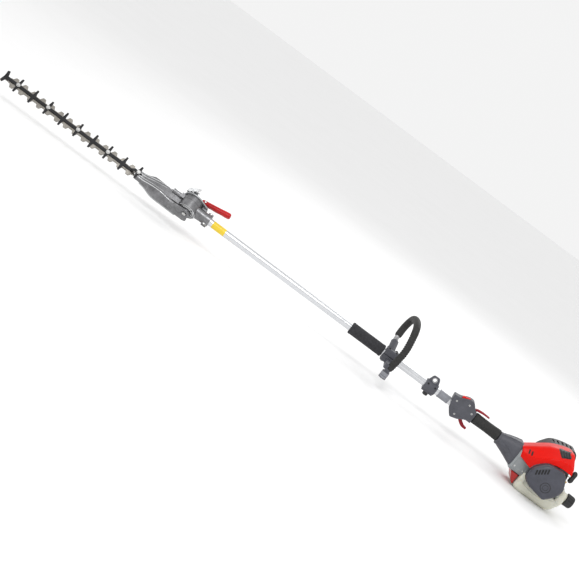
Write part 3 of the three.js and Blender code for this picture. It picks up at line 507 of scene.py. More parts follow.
def refined(node, material, edge=0.6, segments=2, angle=30):
    """A finer copy of a CAD node: flat faces merged and sharp edges rounded."""
    source = frame["nodes"][node]
    mesh = bpy.data.meshes.new(node + "_fine")
    copy = bmesh.new()
    copy.from_mesh(source.data)
    bmesh.ops.remove_doubles(copy, verts=copy.verts, dist=WELD_DISTANCE)
    bmesh.ops.dissolve_limit(copy, angle_limit=FLAT_ANGLE, verts=copy.verts,
                             edges=copy.edges)
    bmesh.ops.recalc_face_normals(copy, faces=copy.faces)
    copy.to_mesh(mesh)
    copy.free()
    smooth(mesh)
    mesh.materials.append(material)
    obj = bpy.data.objects.new(node + "_fine", mesh)
    bpy.context.scene.collection.objects.link(obj)
    soften(obj, edge, segments, angle)
    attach(obj, source["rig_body"])
    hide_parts(node)
    return obj


# ---------------------------------------------------------------- cutter and head

for node in ("upper_blade", "lower_blade"):
    refined(node, BLADE, 0.45, 2)
refined("support_bar", BLADE, 0.6)
refined("guard_bar", OXIDE, 0.7, 3)
for i in range(1, 6):
    refined(f"guard_bolt_{i}", ZINC, 0.5)
refined("gearcase", CAST, 1.1, 3)
refined("gearcase_cover", SHEET, 1.0, 3)
refined("neck_casting", CAST, 0.9, 3)
refined("index_plate", SHEET, 0.4)
refined("latch_carrier", LATCH, 0.7)
refined("latch_pin", ZINC, 0.4)
refined("latch_lever", SILVER, 1.1, 3)
refined("pivot_bolt", ZINC, 0.6)

# Raised ridges run from the nose of the gear case to the tilt joint, coloured with a painted highlight.
case_mesh = frame["nodes"]["gearcase"].data
case = BVHTree.FromPolygons([v.co for v in case_mesh.vertices],
                            [tuple(f.vertices) for f in case_mesh.polygons])
DOWN = (HEAD.to_3x3() @ Vector((0, 0, -1))).normalized()


def on_case(x, y, lift):
    """The point above (x, y) where the case's top surface is, in the head frame."""
    hit = case.ray_cast(HEAD @ Vector((x, y, 90)), DOWN)[0]
    if hit is None:
        return None
    return HEAD.inverted() @ hit + Vector((0, 0, lift))


def ridge(start, end, radius, spread=1.6):
    line = []
    for i in range(40):
        t = i / 39
        x = start[0] + (end[0] - start[0]) * t
        y = start[1] + (end[1] - start[1]) * t ** spread
        point = on_case(x, y, 0.2 * radius)
        if point:
            line.append(point)
    eased = [line[0]]
    for a, b, c in zip(line, line[1:], line[2:]):
        eased.append((a + b + c) / 3)
    eased.append(line[-1])
    return sweep(eased, lambda s: radius * (0.55 + 0.45 * math.sin(math.pi * min(1, s * 1.4 + 0.08))), 16)


RIDGES = [((-199, -11.6), (-45, -20.6), 1.7), ((-199, 11.6), (-45, 20.6), 1.4),
          ((-198, -4), (-92, -9), 1.1), ((-198, 4), (-92, 9), 1.1)]
piece("case_ridges", merged(*[ridge(*r) for r in RIDGES]), HEAD, PAINTED_HIGHLIGHT_CAST, "head")

# The red adjusting handle: a wavy grip on the tilt axis side of the head.
HANDLE = rounded([(18, 35.6, 6), (40, 38, 12), (58, 42, 10), (72, 42.8, 12), (90, 47, 10), (106, 48.4, 12),
                  (121.6, 51.6, 8), (118, 67.8, 8), (98, 64.4, 12), (82, 60.6, 10), (62, 57, 12),
                  (44, 53.6, 12), (18, 49, 7)], 6, 6)
piece("handle_grip", block("xy", HANDLE, (-10, 10), 6.2, 6), HEAD, HANDLE_RED, "head", 0.0,
      replaces=["head_handle"])
piece("handle_screw", screw("z", 9.6, (30, 43.5), 3.4, 2.2), HEAD, ZINC, "head")

# Screws on the joint, the case and the neck clamp.
NECK_FACE = -19.9
PLATE_FACE = 28.2
COVER_FACE = -48.8
NECK_SCREWS = [(-22, 10), (14, 20), (-6, -24)]
COVER_SCREWS = [(x, side * y) for x, y in ((-166, 9), (-120, 24), (-36, 24)) for side in (1, -1)]
ARC_RADII = (19.5, 24.5, 30.2)


def raised_arc(radius):
    profile = [(-20.0, radius - 1.1), (-20.9, radius - 0.6), (-20.9, radius + 0.6), (-20.0, radius + 1.1)]
    return turned("y", profile, (0, 0), 72, True)


piece("joint_screws", merged(*[screw("y", NECK_FACE, c, 2.6, 1.6, out=-1) for c in NECK_SCREWS]),
      HEAD, OXIDE, "root")
# The joint's raised arcs carry a painted highlight for the shading on its rounded body.
piece("joint_arcs", merged(*[raised_arc(radius) for radius in ARC_RADII]), HEAD, PAINTED_HIGHLIGHT_CAST, "root")
piece("clamp_screws", merged(*[screw("z", 6.6, (68, y), 3.2, 2.6) for y in (21, -21)]), HEAD, ZINC, "root")
piece("plate_screws", merged(*[screw("y", PLATE_FACE, (43, z), 2.8, 2.0) for z in (7, -7)]), HEAD, OXIDE,
      "root")
piece("cover_screws", merged(*[screw("z", COVER_FACE, c, 2.6, 1.6, out=-1) for c in COVER_SCREWS]),
      HEAD, OXIDE, "head")

# ---------------------------------------------------------------- pole

tube_low, tube_high = pole_box("main_tube")
TUBE_R = (tube_high.y - tube_low.y) / 2
piece("tube_skin", turned("x", [
    (tube_low.x, TUBE_R - 1.6), (tube_low.x, TUBE_R - 0.3), (tube_low.x + 0.4, TUBE_R),
    (tube_high.x - 0.4, TUBE_R), (tube_high.x, TUBE_R - 0.3), (tube_high.x, TUBE_R - 1.6),
], sides=96, closed=True), POLE, TUBE, "root", replaces=["main_tube"])
BAND = (91, 138)
piece("tube_band", turned("x", [
    (BAND[0], TUBE_R - 0.1), (BAND[0], TUBE_R + 0.14), (BAND[1], TUBE_R + 0.14), (BAND[1], TUBE_R - 0.1),
], sides=96, closed=True), POLE, YELLOW, "root")

foam_low, foam_high = pole_box("foam_sleeve")
F0, F1, FR = foam_low.x, foam_high.x, foam_high.y


def foam_profile():
    rows = [(F0, TUBE_R + 0.2), (F0, FR - 3.2), (F0 + 1.2, FR - 0.9), (F0 + 3.5, FR), (F0 + 8, FR),
            (F0 + 9, FR - 0.8), (F0 + 10, FR - 0.8)]
    span = F1 - F0 - 24
    rows += [(F0 + 12 + span * k / 30, FR - 0.5 - 0.25 * (k % 2)) for k in range(31)]
    rows += [(F1 - 10, FR - 0.8), (F1 - 9, FR - 0.8), (F1 - 8, FR), (F1 - 3.5, FR),
             (F1 - 1.2, FR - 0.9), (F1, FR - 3.2), (F1, TUBE_R + 0.2)]
    return rows


piece("foam_skin", turned("x", foam_profile(), sides=80, closed=True), POLE, FOAM, "root",
      replaces=["foam_sleeve"])

spacer_low, spacer_high = pole_box("spacer_sleeve")
S0, S1, SR = spacer_low.x, spacer_high.x, spacer_high.y
piece("spacer_skin", turned("x", [
    (S0, TUBE_R + 0.1), (S0, SR - 0.6), (S0 + 0.6, SR), (S0 + 4, SR), (S0 + 4.6, SR - 0.5),
    (S1 - 4.6, SR - 0.5), (S1 - 4, SR), (S1 - 0.6, SR), (S1, SR - 0.6), (S1, TUBE_R + 0.1),
], sides=80, closed=True), POLE, LIGHT_GREY, "root", replaces=["spacer_sleeve"])

# ---------------------------------------------------------------- loop handle

LOOP = [(768, 36, 26), (766, 66, 52), (767, 80, 92), (772, 60, 128), (780, 0, 138), (787, -60, 128),
        (795, -82, 92), (800, -84, 50), (796, -83, 0), (790, -82, -50)]
loop_path = spline(LOOP, 221)
GRIP_FROM, GRIP_TO, RIBBED_FROM = 22, 205, 138


def loop_radius(share):
    i = GRIP_FROM + share * (GRIP_TO - GRIP_FROM)
    end = min(i - GRIP_FROM, GRIP_TO - i)
    edge = min(1.0, 0.82 + 0.06 * end)
    if i > RIBBED_FROM:
        return edge * (11.75 if int(i) % 4 < 2 else 10.7)
    return edge * 11.7


piece("loop_bar", sweep(loop_path, 8, 32), POLE, STEEL, "root", replaces=["loop_tube"])
piece("loop_rubber", sweep(loop_path[GRIP_FROM:GRIP_TO + 1], loop_radius, 40), POLE, RUBBER, "root",
      replaces=["loop_grip"], angle=math.radians(55))
refined("loop_clamp_upper", GREY_PLASTIC, 1.3, 3)
refined("loop_clamp_lower", GREY_PLASTIC, 1.3, 3)
piece("loop_screws", merged(*[
    screw("z", 21.7, (x, y), 3.6, 3.2) for x in (764, 790) for y in (-15, 15)
]), POLE, OXIDE, "root")
LOOP_NUT = [(-22, 4.4), (-25, 4.4), (-25.4, 3.8), (-25.4, 0.1)]
piece("loop_nuts", merged(*[turned("z", LOOP_NUT, (764, y), 6) for y in (-15, 15)]), POLE, ZINC, "root", 0.3)
END_CAP = [(-54.5, 0.1), (-54.5, 9.5), (-53.4, 11.9), (-51, 12.6), (-46, 12.7), (-44.5, 12.2), (-43, 12.7),
           (-33, 12.7), (-30.2, 11.6)]
piece("loop_end_cap", turned("z", END_CAP, (791, -82), 56),
      POLE, LIGHT_GREY, "root")

# ---------------------------------------------------------------- harness clamp

refined("harness_clamp", GREY_PLASTIC, 1.0, 3)
CLAMP_X = 936
KNOB = [(-20, 8.6), (-25, 8.8), (-29, 9.0), (-31.2, 8.0), (-32, 5.5), (-32, 0.1)]
BUSHING = [(-5.8, 6.1), (-5.8, 8.2), (-5.0, 8.9), (5.0, 8.9), (5.8, 8.2), (5.8, 6.1)]
piece("clamp_knob", turned("z", KNOB, (CLAMP_X, 0), 48), POLE, BLACK_PLASTIC, "root")
piece("harness_bushing", turned("y", BUSHING, (CLAMP_X, 25), 48, True), POLE, STEEL, "root")
piece("clamp_screws_rear", merged(*[screw("y", -17.4, (x, 8), 3.0, 2.0, out=-1) for x in (924, 950)]),
      POLE, OXIDE, "root")

# ---------------------------------------------------------------- controls

refined("throttle_housing_left", GREY_PLASTIC, 2.2, 4, angle=40)
refined("throttle_housing_right", GREY_PLASTIC, 2.2, 4, angle=40)
refined("throttle_trigger", TRIGGER_RED, 1.4, 4)
refined("lockout_lever", TRIGGER_RED, 1.3, 4)
refined("stop_switch", RED, 1.2, 4)
piece("housing_screws", merged(*[
    screw("y", -20.6, c, 3.1, 1.8, out=-1) for c in ((1026, 18), (1066, 30), (1044, -20), (1087, 12))
]), POLE, ZINC, "root")
PANEL = rounded([(1024, 26), (1026, 2), (1040, -24), (1062, -18), (1080, -8), (1093, -8),
                 (1093, 16), (1078, 34), (1058, 36)], 7, 5)
piece("housing_panel", block("xz", PANEL, (-22.2, -18), 1.4), POLE, GREY_PLASTIC, "root")

grip_low, grip_high = pole_box("rear_grip")
GRIP_MID = (grip_low.z + grip_high.z) / 2
GRIP_W, GRIP_H = grip_high.y, (grip_high.z - grip_low.z) / 2


def grip_loops():
    loops = []
    length = grip_high.x - grip_low.x
    count = 88
    for i in range(count + 1):
        t = i / count
        x = grip_low.x + length * t
        ends = min(1.0, 0.84 + 1.9 * min(t, 1 - t) * 2)
        groove = 0.955 if (12 < i < 76 and i % 5 in (0, 1)) else 1.0
        hand = 1 - 0.035 * math.sin(math.pi * t) ** 2
        loops.append([
            Vector((x, GRIP_W * ends * groove * hand * math.cos(a),
                    GRIP_MID + GRIP_H * ends * groove * hand * math.sin(a)))
            for a in (2 * math.pi * k / 64 for k in range(64))
        ])
    return loops


piece("grip_rubber", loft(grip_loops()), POLE, RUBBER, "root", replaces=["rear_grip"],
      angle=math.radians(55))

# ---------------------------------------------------------------- engine front

def squarish(width, low, high, power, count=72):
    """A rounded-square loop of (y, z) points, between a low and a high edge."""
    mid, half = (low + high) / 2, (high - low) / 2
    out = []
    for k in range(count):
        t = 2 * math.pi * k / count
        c, s = math.cos(t), math.sin(t)
        r = (abs(c) ** power + abs(s) ** power) ** (-1 / power)
        out.append(Vector((width * r * c, mid + half * r * s)))
    return out


CONE = [(1200, 19.2, -19.2, 19.2, 2.0), (1201.2, 20.4, -20.4, 20.4, 2.0), (1206, 21.6, -21.6, 21.4, 2.1),
        (1216, 25.4, -25.6, 24.6, 2.3), (1230, 29.6, -30.4, 28.0, 2.6), (1245, 34.0, -36.4, 31.4, 3.0),
        (1260, 38.6, -42.6, 34.2, 3.6), (1270.6, 42.4, -46.4, 35.6, 4.0), (1272, 42.0, -46.0, 35.2, 4.0)]
cone_loops = [[Vector((x, p.x, p.y)) for p in squarish(w, lo, hi, power)] for x, w, lo, hi, power in CONE]
piece("cone_shell", loft(cone_loops), POLE, GREY_PLASTIC, "root",
      replaces=["clutch_cone"], angle=math.radians(40))
CREASES = [[(1204, -20.0, 7), (1226, -28.4, 2), (1248, -34.6, -8), (1270, -41.6, -18)],
           [(1204, -17.8, -11), (1226, -25.6, -16), (1248, -31.2, -25), (1270, -38.0, -33)],
           [(1204, -10.5, 18.4), (1226, -14.5, 25.2), (1248, -19, 30.6), (1270, -24, 34.4)]]


def crease(points, side):
    line = [Vector((p.x, side * p.y, p.z)) for p in spline(points, 30)]
    return sweep(line, lambda share: 0.8 + 0.9 * share, 14)


piece("cone_creases", merged(*[crease(points, side) for side in (1, -1) for points in CREASES]),
      POLE, GREY_PLASTIC, "root")
COLLAR = [(1198.6, 19), (1198.6, 20.8), (1199.6, 21.6), (1204.6, 21.9), (1205.8, 21.2), (1205.8, 19)]
piece("cone_collar", turned("x", COLLAR, sides=72, closed=True), POLE, GREY_PLASTIC, "root")

BOX_SECTION = rounded([(-46, -50), (46, -50), (46, 14), (35, 27), (-35, 27), (-46, 14)], 9, 6)
piece("clutch_box", block("yz", BOX_SECTION, (1272.3, 1327.6), 2.6), POLE, BOX_GREY, "root",
      replaces=["clutch_housing"])
FRAME_OUT = rounded([(1276, -42), (1325, -42), (1325, -8), (1276, 2)], 5, 5)
FRAME_IN = rounded([(1280, -38), (1321, -38), (1321, -11), (1280, -2)], 4, 5)


def rim(outer, inner, span):
    """A raised frame between two loops of the same number of points."""
    to = PLANES["xz"]
    low, high = span
    eased = low + (high - low) * 0.8
    rows = [(outer, low), (outer, eased), (inset(outer, 0.6), high), (inset(inner, -0.6), high),
            (inner, eased), (inner, low)]
    return loft([[to(p, d) for p in loop] for loop, d in rows], closed=True)


piece("box_frames", merged(rim(FRAME_OUT, FRAME_IN, (-45, -47.4)), rim(FRAME_OUT, FRAME_IN, (45, 47.4))),
      POLE, BOX_GREY, "root")
piece("box_screws", merged(*[
    screw("y", side * 45.4, c, 3.0, 2.2, out=side) for side in (-1, 1) for c in ((1285, -32), (1316, -32))
]), POLE, ZINC, "root")

# ---------------------------------------------------------------- red shroud

# Columns from the shroud's front to its rear: lower edge, crease and top edge on the filter side.
LEFT_COLUMNS = [
    [(1282, -46, 4), (1277, -47.5, 20), (1271, -38, 38)],
    [(1301, -56, 0), (1297, -59, 19), (1296, -39, 57)],
    [(1318, -66, -4), (1316, -69, 29), (1315, -39, 71)],
    [(1329, -73, -4), (1329, -76, 38), (1328, -39, 81)],
    [(1336, -77, 13), (1338, -80, 46), (1339, -39, 89)],
    [(1347, -83, 29), (1352, -85, 58), (1354, -39, 97)],
    [(1366, -86.5, 48), (1370, -88, 69), (1374, -39, 105)],
    [(1386, -87.5, 54), (1386, -89, 74), (1384, -39, 109)],
    [(1408, -87.5, 56), (1404, -88.5, 76), (1398, -39, 112.5)],
    [(1424, -86.5, 55), (1419, -87.5, 75), (1407, -39, 113)],
    [(1431, -84, 53), (1426, -84.5, 72), (1412, -40, 110)],
]
RIGHT_COLUMNS = [
    [(1282, 46, 2), (1277, 46, 6), (1271, 30, 30)],
    [(1301, 47, 0), (1297, 47, 12), (1296, 30, 49)],
    [(1317, 48, -3), (1316, 48.5, 20), (1315, 30, 63)],
]
SEAM_Y = 20
CORNER_DROP = 6
SEAM_DROP = 10
SHELL_WALL = 2.4
CREASE_RADIUS = 5
TOP_RADIUS = 13


def bent(points, radii, steps=6):
    """An open line through points, rounded at its inner corners."""
    out = [Vector(points[0])]
    for i, radius in enumerate(radii, start=1):
        point, before, after = Vector(points[i]), Vector(points[i - 1]), Vector(points[i + 1])
        a = point + (before - point).normalized() * min(radius, 0.47 * (before - point).length)
        b = point + (after - point).normalized() * min(radius, 0.47 * (after - point).length)
        for k in range(steps + 1):
            t = k / steps
            out.append(a.lerp(point, t).lerp(point.lerp(b, t), t))
    out.append(Vector(points[-1]))
    return out


def shroud_skin(columns, across):
    """The grid of points of the shroud's outside, column by column."""
    lines = []
    for lower, crease, top in columns:
        corners = [lower, crease, (top[0], top[1], top[2] - CORNER_DROP),
                   (top[0], SEAM_Y, top[2] - SEAM_DROP)]
        lines.append(bent(corners, (CREASE_RADIUS, TOP_RADIUS)))
    rows = [spline(row, across) for row in zip(*lines)]
    return [list(column) for column in zip(*rows)]


def shell_of(grid, wall):
    """A sheet of the given thickness under a grid of points, as a closed loft."""
    last, end = len(grid) - 1, len(grid[0]) - 1
    centre = sum((p for line in grid for p in line), Vector()) / ((last + 1) * (end + 1))
    loops = []
    for i, line in enumerate(grid):
        under = []
        for k, point in enumerate(line):
            along = grid[min(i + 1, last)][k] - grid[max(i - 1, 0)][k]
            up = line[min(k + 1, end)] - line[max(k - 1, 0)]
            normal = along.cross(up).normalized()
            if normal.dot(point - centre) > 0:
                normal = -normal
            under.append(point + normal * wall)
        loops.append(line + under[::-1])
    return loft(loops)


left_skin = shroud_skin(LEFT_COLUMNS, 72)
piece("shroud_shell", merged(shell_of(left_skin, SHELL_WALL),
                             shell_of(shroud_skin(RIGHT_COLUMNS, 24), SHELL_WALL)),
      POLE, RED, "root", replaces=["top_shroud"], angle=math.radians(38))
REAR_WALL = [Vector((p.x - 0.6, p.y, p.z)) for p in left_skin[-1]]
LOWER_EDGE = [line[0] for line in left_skin]
piece("shroud_lips", merged(*[sweep(line, 1.5, 12) for line in (left_skin[0], REAR_WALL, LOWER_EDGE)]),
      POLE, RED, "root")
piece("shroud_crease", sweep([c[len(c) // 4 + 1] for c in left_skin[6:66]], 0.9, 10), POLE, RED, "root")

skin_points, skin_faces = loft(left_skin, capped=False)
skin_faces = [f for f in skin_faces if (f[0] + 1) % len(left_skin[0])]
skin = BVHTree.FromPolygons(skin_points, skin_faces)
FAR_OUT = -200


FALL = 0.1763


def on_shroud(x, z):
    """The point of the shroud's outside on the falling line that meets the pole's plane at (x, z)."""
    start = Vector((x, FAR_OUT, z - FALL * FAR_OUT))
    hit = skin.ray_cast(start, Vector((0, 1, -FALL)).normalized())[0]
    return hit or Vector((x, 0, z - 2))


def patch(corners, lift, sink, radius=1.5):
    """A plate that follows the shroud, standing out by lift and reaching in by sink."""
    loop = rounded(corners, radius, 4)
    centre = sum(loop, Vector((0, 0))) / len(loop)
    rows = [(1.0, sink), (1.0, -0.6 * lift), (0.985, -lift), (0.66, -lift), (0.33, -lift), (0.02, -lift)]
    loops = []
    for share, out in rows:
        line = [centre + (p - centre) * share for p in loop]
        loops.append([on_shroud(*p) + Vector((0, out, -0.6 * out)) for p in line])
    return loft(loops)


def slanted(corners, span, edge=0.8, radius=2.0):
    return block("xz", rounded(corners, radius, 4), span, edge, 3)


# The vents are black patches of painted shade laid on the shroud.
piece("shroud_vents", merged(*[
    patch([(x - 1, 29), (x + 3.2, 30), (x + 6.2, 16.5), (x + 2, 15.5)], 0.5, 2.0) for x in (1291, 1300)
]), POLE, SHADOW, "root")
piece("shroud_insert", merged(
    patch([(1360, 86), (1397, 102.5), (1405, 80), (1376, 65)], 0.9, 3.0, 4.0),
    *[patch([(1366 + 8 * k, 84 + 3.2 * k), (1369.5 + 8 * k, 85.4 + 3.2 * k), (1378.5 + 8 * k, 71.4 + 3.2 * k),
             (1375 + 8 * k, 70 + 3.2 * k)], 2.4, 1.0, 0.8) for k in range(4)],
), POLE, BLACK_PLASTIC, "root")
refined("tank_guard", DARK_RED, 2.0, 4)

# ---------------------------------------------------------------- muffler side

refined("muffler_guard", BLACK_PLASTIC, 1.4, 3)
refined("muffler", STEEL, 2.0, 3)

# ---------------------------------------------------------------- air filter side

cover_high = pole_box("air_filter_cover")[1]
COVER = rounded([(1319, 6, 15), (1352, 46, 18), (1408, 53, 15), (1428, 28, 14), (1439, 0, 13),
                 (1430, -28, 14), (1404, -58, 8), (1342, -47, 15), (1319, -32, 13)], 14, 9)
COVER_ROWS = [(0.0, 0.0), (0.2, 0.3), (5.0, 0.0), (20.0, 0.4), (27.0, 1.2), (32.0, 3.0), (35.0, 6.0),
              (36.8, 10.0)]
FACE_ROWS = [(37.4, 0.84), (37.6, 0.6), (37.7, 0.35), (37.8, 0.12), (37.8, 0.01)]


def cover_ring(out, pull):
    """The cover's outline at a distance out from its rim, pulled in by another."""
    return [Vector((p.x, cover_high.y - out, p.y)) for p in inset(COVER, pull)]


cover_loops = [cover_ring(out, pull) for out, pull in COVER_ROWS]
face_edge = cover_loops[-1]
face_centre = sum(face_edge, Vector()) / len(face_edge)
for out, share in FACE_ROWS:
    shrunk = [face_centre + (p - face_centre) * share for p in face_edge]
    cover_loops.append([Vector((p.x, cover_high.y - out, p.z)) for p in shrunk])
piece("cover_shell", loft(cover_loops), POLE, COVER_BLUE, "root",
      replaces=["air_filter_cover"], angle=math.radians(40))
EMBLEM = (1385, -19)
piece("cover_emblem_ring", merged(
    turned("y", [(-114.6, 16.5), (-115.95, 16.1), (-115.95, 14.9), (-114.8, 14.4)], EMBLEM, 64, True),
    turned("y", [(-114.6, 9.2), (-115.8, 8.8), (-115.8, 8.0), (-114.8, 7.7)], EMBLEM, 64, True),
), POLE, BLACK_PLASTIC, "root")


def cover_slot(x, z):
    corners = [(x - 4.2, z + 7.2), (x + 0.6, z + 8.2), (x + 4.2, z - 7.2), (x - 0.6, z - 8.2)]
    return slanted(corners, (-115.7, -104), 0.5, 1.2)


SLOT_COUNT = 5
# The intake slots are black blocks of painted shade sunk into the cover.
piece("cover_slots", merged(*[cover_slot(1334.5 + 7.0 * k, 4 + 5.6 * k) for k in range(SLOT_COUNT)]),
      POLE, SHADOW, "root")
groove = cover_ring(14.0, -0.15)
piece("cover_groove", sweep(groove + groove[:1], 0.75, 10), POLE, BLACK_PLASTIC, "root")

refined("air_filter", FOAM, 1.0)
refined("carburettor", CAST, 0.8)
refined("choke_lever", BLACK_PLASTIC, 0.8, 3)
piece("carburettor_jets", merged(
    turned("x", [(1403, 4.4), (1410, 4.4), (1411, 3.4), (1418, 3.4), (1418, 0.1)], (-78, 12), 24),
    turned("y", [(-70, 5), (-80, 5), (-81, 4.2), (-81, 0.1)], (1430, 16), 24),
    turned("x", [(1420, 3.2), (1434, 3.2), (1435, 2.4), (1435, 0.1)], (-74, 26), 24),
), POLE, BRASS, "root")
piece("fuel_lines", merged(
    sweep(spline([(1404, -66, 20), (1424, -70, 8), (1434, -60, -6), (1440, -50, -16)], 40), 2.2, 14),
    sweep(spline([(1404, -62, 34), (1430, -68, 24), (1441, -60, 4), (1444, -46, -12)], 40), 2.2, 14),
), POLE, RUBBER, "root")

# ---------------------------------------------------------------- starter

refined("starter_housing", BLACK_PLASTIC, 1.0, 3)
TEE = rounded([(1444, 25, 6), (1452, 21.5, 7), (1460, 29, 7), (1458.6, 44, 6), (1460, 58, 7),
               (1452, 66, 7), (1444, 60, 6), (1446, 44, 6)], 5, 6)
piece("starter_handle", block("xz", TEE, (-37, -23), 3.2, 5), POLE, BLACK_PLASTIC, "starter_grip",
                replaces=["starter_grip"])
rope_low = pole_box("starter_grip")[0]
ROPE = [Vector((rope_low.x + k, -30 + 0.12 * math.sin(k), 38)) for k in range(38)]
piece("starter_rope", sweep(ROPE, 1.8, 14),
      POLE, TANK, "starter_grip")
EYE = [(-37.4, 2.6), (-37.8, 3.6), (-37.2, 4.6), (-22.8, 4.6), (-22.2, 3.6), (-22.6, 2.6)]
piece("starter_eye", turned("y", EYE, (1452, 50), 32, True), POLE, BLACK_PLASTIC, "starter_grip")

# ---------------------------------------------------------------- tank

TANK_ROWS = [
    (-90, 1334, 1424, 42, 10), (-89.5, 1329, 1431, 47, 12), (-87.5, 1322.5, 1441, 51.5, 14),
    (-83, 1318, 1449, 56, 15), (-76, 1316.2, 1455, 60, 16), (-68, 1316.6, 1459, 61.8, 16),
    (-58, 1317.4, 1463.5, 62, 16), (-46, 1318.6, 1468.4, 62, 15), (-42.6, 1320, 1468.6, 60.4, 14),
    (-41, 1323, 1465.5, 57, 12),
]
COLUMN_ROWS = [
    (-57, 1443, 1463.5, 62, 9), (-40, 1443, 1470.4, 62, 9), (-24, 1443, 1468.7, 62, 10),
    (-12, 1443.5, 1467, 60.5, 10), (-7.8, 1445, 1465, 57, 9), (-6, 1449, 1461, 50, 6),
]
CHEEK_ROWS = [
    (-60, 1318, 1345, 62, 5), (-34, 1319, 1343, 62, 5), (-30, 1320.5, 1341, 61, 5),
    (-28.4, 1323.5, 1337, 59, 4),
]


def level(z, x0, x1, y0, y1, corner):
    outline = rounded([(x0, y0), (x1, y0), (x1, y1), (x0, y1)], corner, 8)
    return [Vector((p.x, p.y, z)) for p in outline]


def upright_block(rows):
    return loft([level(z, x0, x1, -half, half, corner) for z, x0, x1, half, corner in rows])


def cheek(side):
    return loft([level(z, x0, x1, *sorted((side * 48, side * outer)), corner)
                 for z, x0, x1, outer, corner in CHEEK_ROWS])


CAP_CENTRE = (JOINTS["fuel_cap_turn"]["pos_m"][1] / MM, (JOINTS["fuel_cap_turn"]["pos_m"][2] - PIVOT.z) / MM)
NECK = [(1452, 12.2), (1446, 15.6), (1467, 15.6), (1470, 16.4), (1473, 16.4), (1474, 15.6), (1474, 12.2)]
piece("tank_shell", merged(
    upright_block(TANK_ROWS), upright_block(COLUMN_ROWS), cheek(-1), cheek(1),
    turned("x", NECK, CAP_CENTRE, 64, True),
), POLE, TANK, "root", replaces=["fuel_tank"], angle=math.radians(40))
BEAD = [(1322, 62, -53), (1340, 62, -60), (1372, 62, -66), (1404, 62, -64), (1436, 62, -52),
        (1463, 61.4, -47)]
piece("tank_relief", merged(*[
    sweep(spline([(x, side * y, z) for x, y, z in BEAD], 60), 1.3, 12) for side in (-1, 1)
]), POLE, TANK, "root")
SEAM = [(1317.4, 0, -58), (1316.4, 0, -74), (1322, 0, -86.6), (1336, 0, -88.8), (1424, 0, -88.8),
        (1442, 0, -86.6), (1456, 0, -74), (1468, 0, -48)]
piece("tank_seam", sweep(spline(SEAM, 60), 0.9, 10), POLE, TANK, "root")

cap_low, cap_high = pole_box("fuel_cap")
CAP_R = (cap_high.y - cap_low.y) / 2


def cap_loop(x, radius, depth, teeth=14, count=168):
    out = []
    for k in range(count):
        t = 2 * math.pi * k / count
        wave = 0.5 + 0.5 * math.cos(teeth * t)
        r = radius - depth * (1 - wave ** 0.5)
        out.append(Vector((x, CAP_CENTRE[0] + r * math.cos(t), CAP_CENTRE[1] + r * math.sin(t))))
    return out


CAP_STEP = (cap_high.x - 1474.5) / 27.5
C0 = 1474.5
piece("cap_shell", loft([
    cap_loop(C0 + x * CAP_STEP, CAP_R - shrink, depth) for x, shrink, depth in (
        (0, 1.5, 0), (1.4, 0, 0.2), (4, 0, 0.4), (6, 0.2, 2.4), (21, 0.6, 2.6), (25.2, 1.9, 1.8),
        (27.2, 4.6, 0.6), (27.4, 7.4, 0), (25.8, 8.6, 0), (25.8, CAP_R - 1, 0),
    )
]), POLE, BLACK_PLASTIC, "fuel_cap", replaces=["fuel_cap"])

# ---------------------------------------------------------------- pieces inside

INNER = {
    "drive_shaft": STEEL, "liner_bush_1": NYLON, "liner_bush_2": NYLON, "clutch_drum": STEEL,
    "crankcase": CAST,
    "crankshaft": STEEL, "flywheel": CAST, "cylinder": CAST, "spark_plug": BLACK_PLASTIC, "crank_gear": STEEL,
    "head_pinion": STEEL, "tilt_idler": STEEL,
}
for node, material in INNER.items():
    refined(node, material, 0.4)

# ---------------------------------------------------------------- studio

CAMERA_DISTANCE = 4.0
CAMERA_AZIMUTH = math.radians(0.1)
CAMERA_ELEVATION = math.radians(10)
CAMERA_ROLL = math.radians(36.71)
LENS = 79.7
AIM_STATION = 403.7
AIM_HEIGHT = -20.1

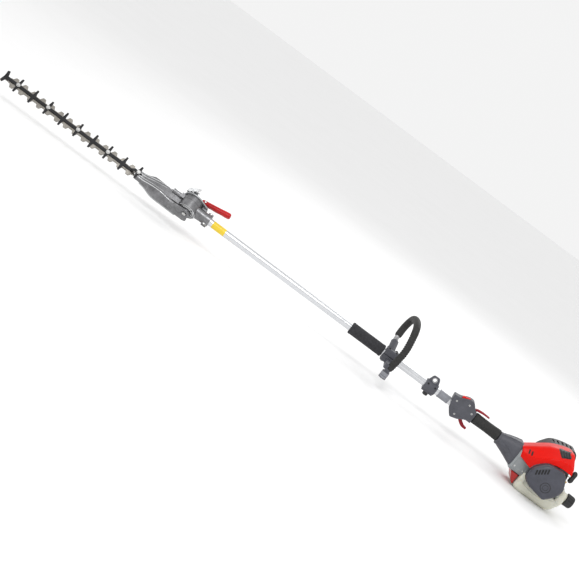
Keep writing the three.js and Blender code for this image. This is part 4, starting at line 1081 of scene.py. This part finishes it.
aim = POLE @ Vector((AIM_STATION, 0, AIM_HEIGHT))
back = Vector((math.sin(CAMERA_AZIMUTH) * math.cos(CAMERA_ELEVATION),
               -math.cos(CAMERA_AZIMUTH) * math.cos(CAMERA_ELEVATION), math.sin(CAMERA_ELEVATION)))
camera_data = bpy.data.cameras.new("camera")
camera_data.lens = LENS
camera = bpy.data.objects.new("camera", camera_data)
bpy.context.scene.collection.objects.link(camera)
upright = (-back).to_track_quat("-Z", "Y")
camera.rotation_mode = "QUATERNION"
camera.rotation_quaternion = upright @ Matrix.Rotation(CAMERA_ROLL, 3, "Z").to_quaternion()
camera.location = aim + back * CAMERA_DISTANCE
bpy.context.scene.camera = camera


def area_light(name, direction, size, power, distance=3.2, colour=(1, 1, 1)):
    data = bpy.data.lights.new(name, "AREA")
    data.energy = power
    data.size = size
    data.color = colour
    light = bpy.data.objects.new(name, data)
    bpy.context.scene.collection.objects.link(light)
    towards = Vector(direction).normalized()
    light.location = aim + Vector((0.3, 0, 0)) + towards * distance
    light.rotation_mode = "QUATERNION"
    light.rotation_quaternion = (-towards).to_track_quat("-Z", "Y")
    light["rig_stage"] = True


area_light("key", (-0.35, -0.9, 1.1), 1.4, 32)
area_light("fill", (0.9, -1.0, 0.25), 2.2, 8)
area_light("rim", (0.3, 1.0, 0.9), 1.6, 20)
area_light("low", (-0.2, -0.7, -0.8), 2.0, 3)

world = bpy.data.worlds.new("studio")
bpy.context.scene.world = world
world.use_nodes = True
sky = world.node_tree
sky.nodes.clear()
sky_out = sky.nodes.new("ShaderNodeOutputWorld")
sky_light = sky.nodes.new("ShaderNodeBackground")
sky_light.inputs["Color"].default_value = (1.0, 1.0, 1.0, 1)
sky_light.inputs["Strength"].default_value = 0.9
sky.links.new(sky_light.outputs["Background"], sky_out.inputs["Surface"])

low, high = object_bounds()
floor_mesh = bpy.data.meshes.new("floor")
HALF = 30.0
FLOOR_CORNERS = [(-HALF, -HALF), (HALF, -HALF), (HALF, HALF), (-HALF, HALF)]
floor_mesh.from_pydata([(x, y, low.z) for x, y in FLOOR_CORNERS], [], [(0, 1, 2, 3)])
floor = bpy.data.objects.new("floor", floor_mesh)
bpy.context.scene.collection.objects.link(floor)
PAPER = finish("floor_paper", (0.93, 0.93, 0.93), 0.85, contrast=0.01, patch=2, soil=0.01)
floor_mesh.materials.append(PAPER)
floor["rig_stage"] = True
camera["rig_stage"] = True

bpy.context.scene.view_settings.view_transform = "Standard"
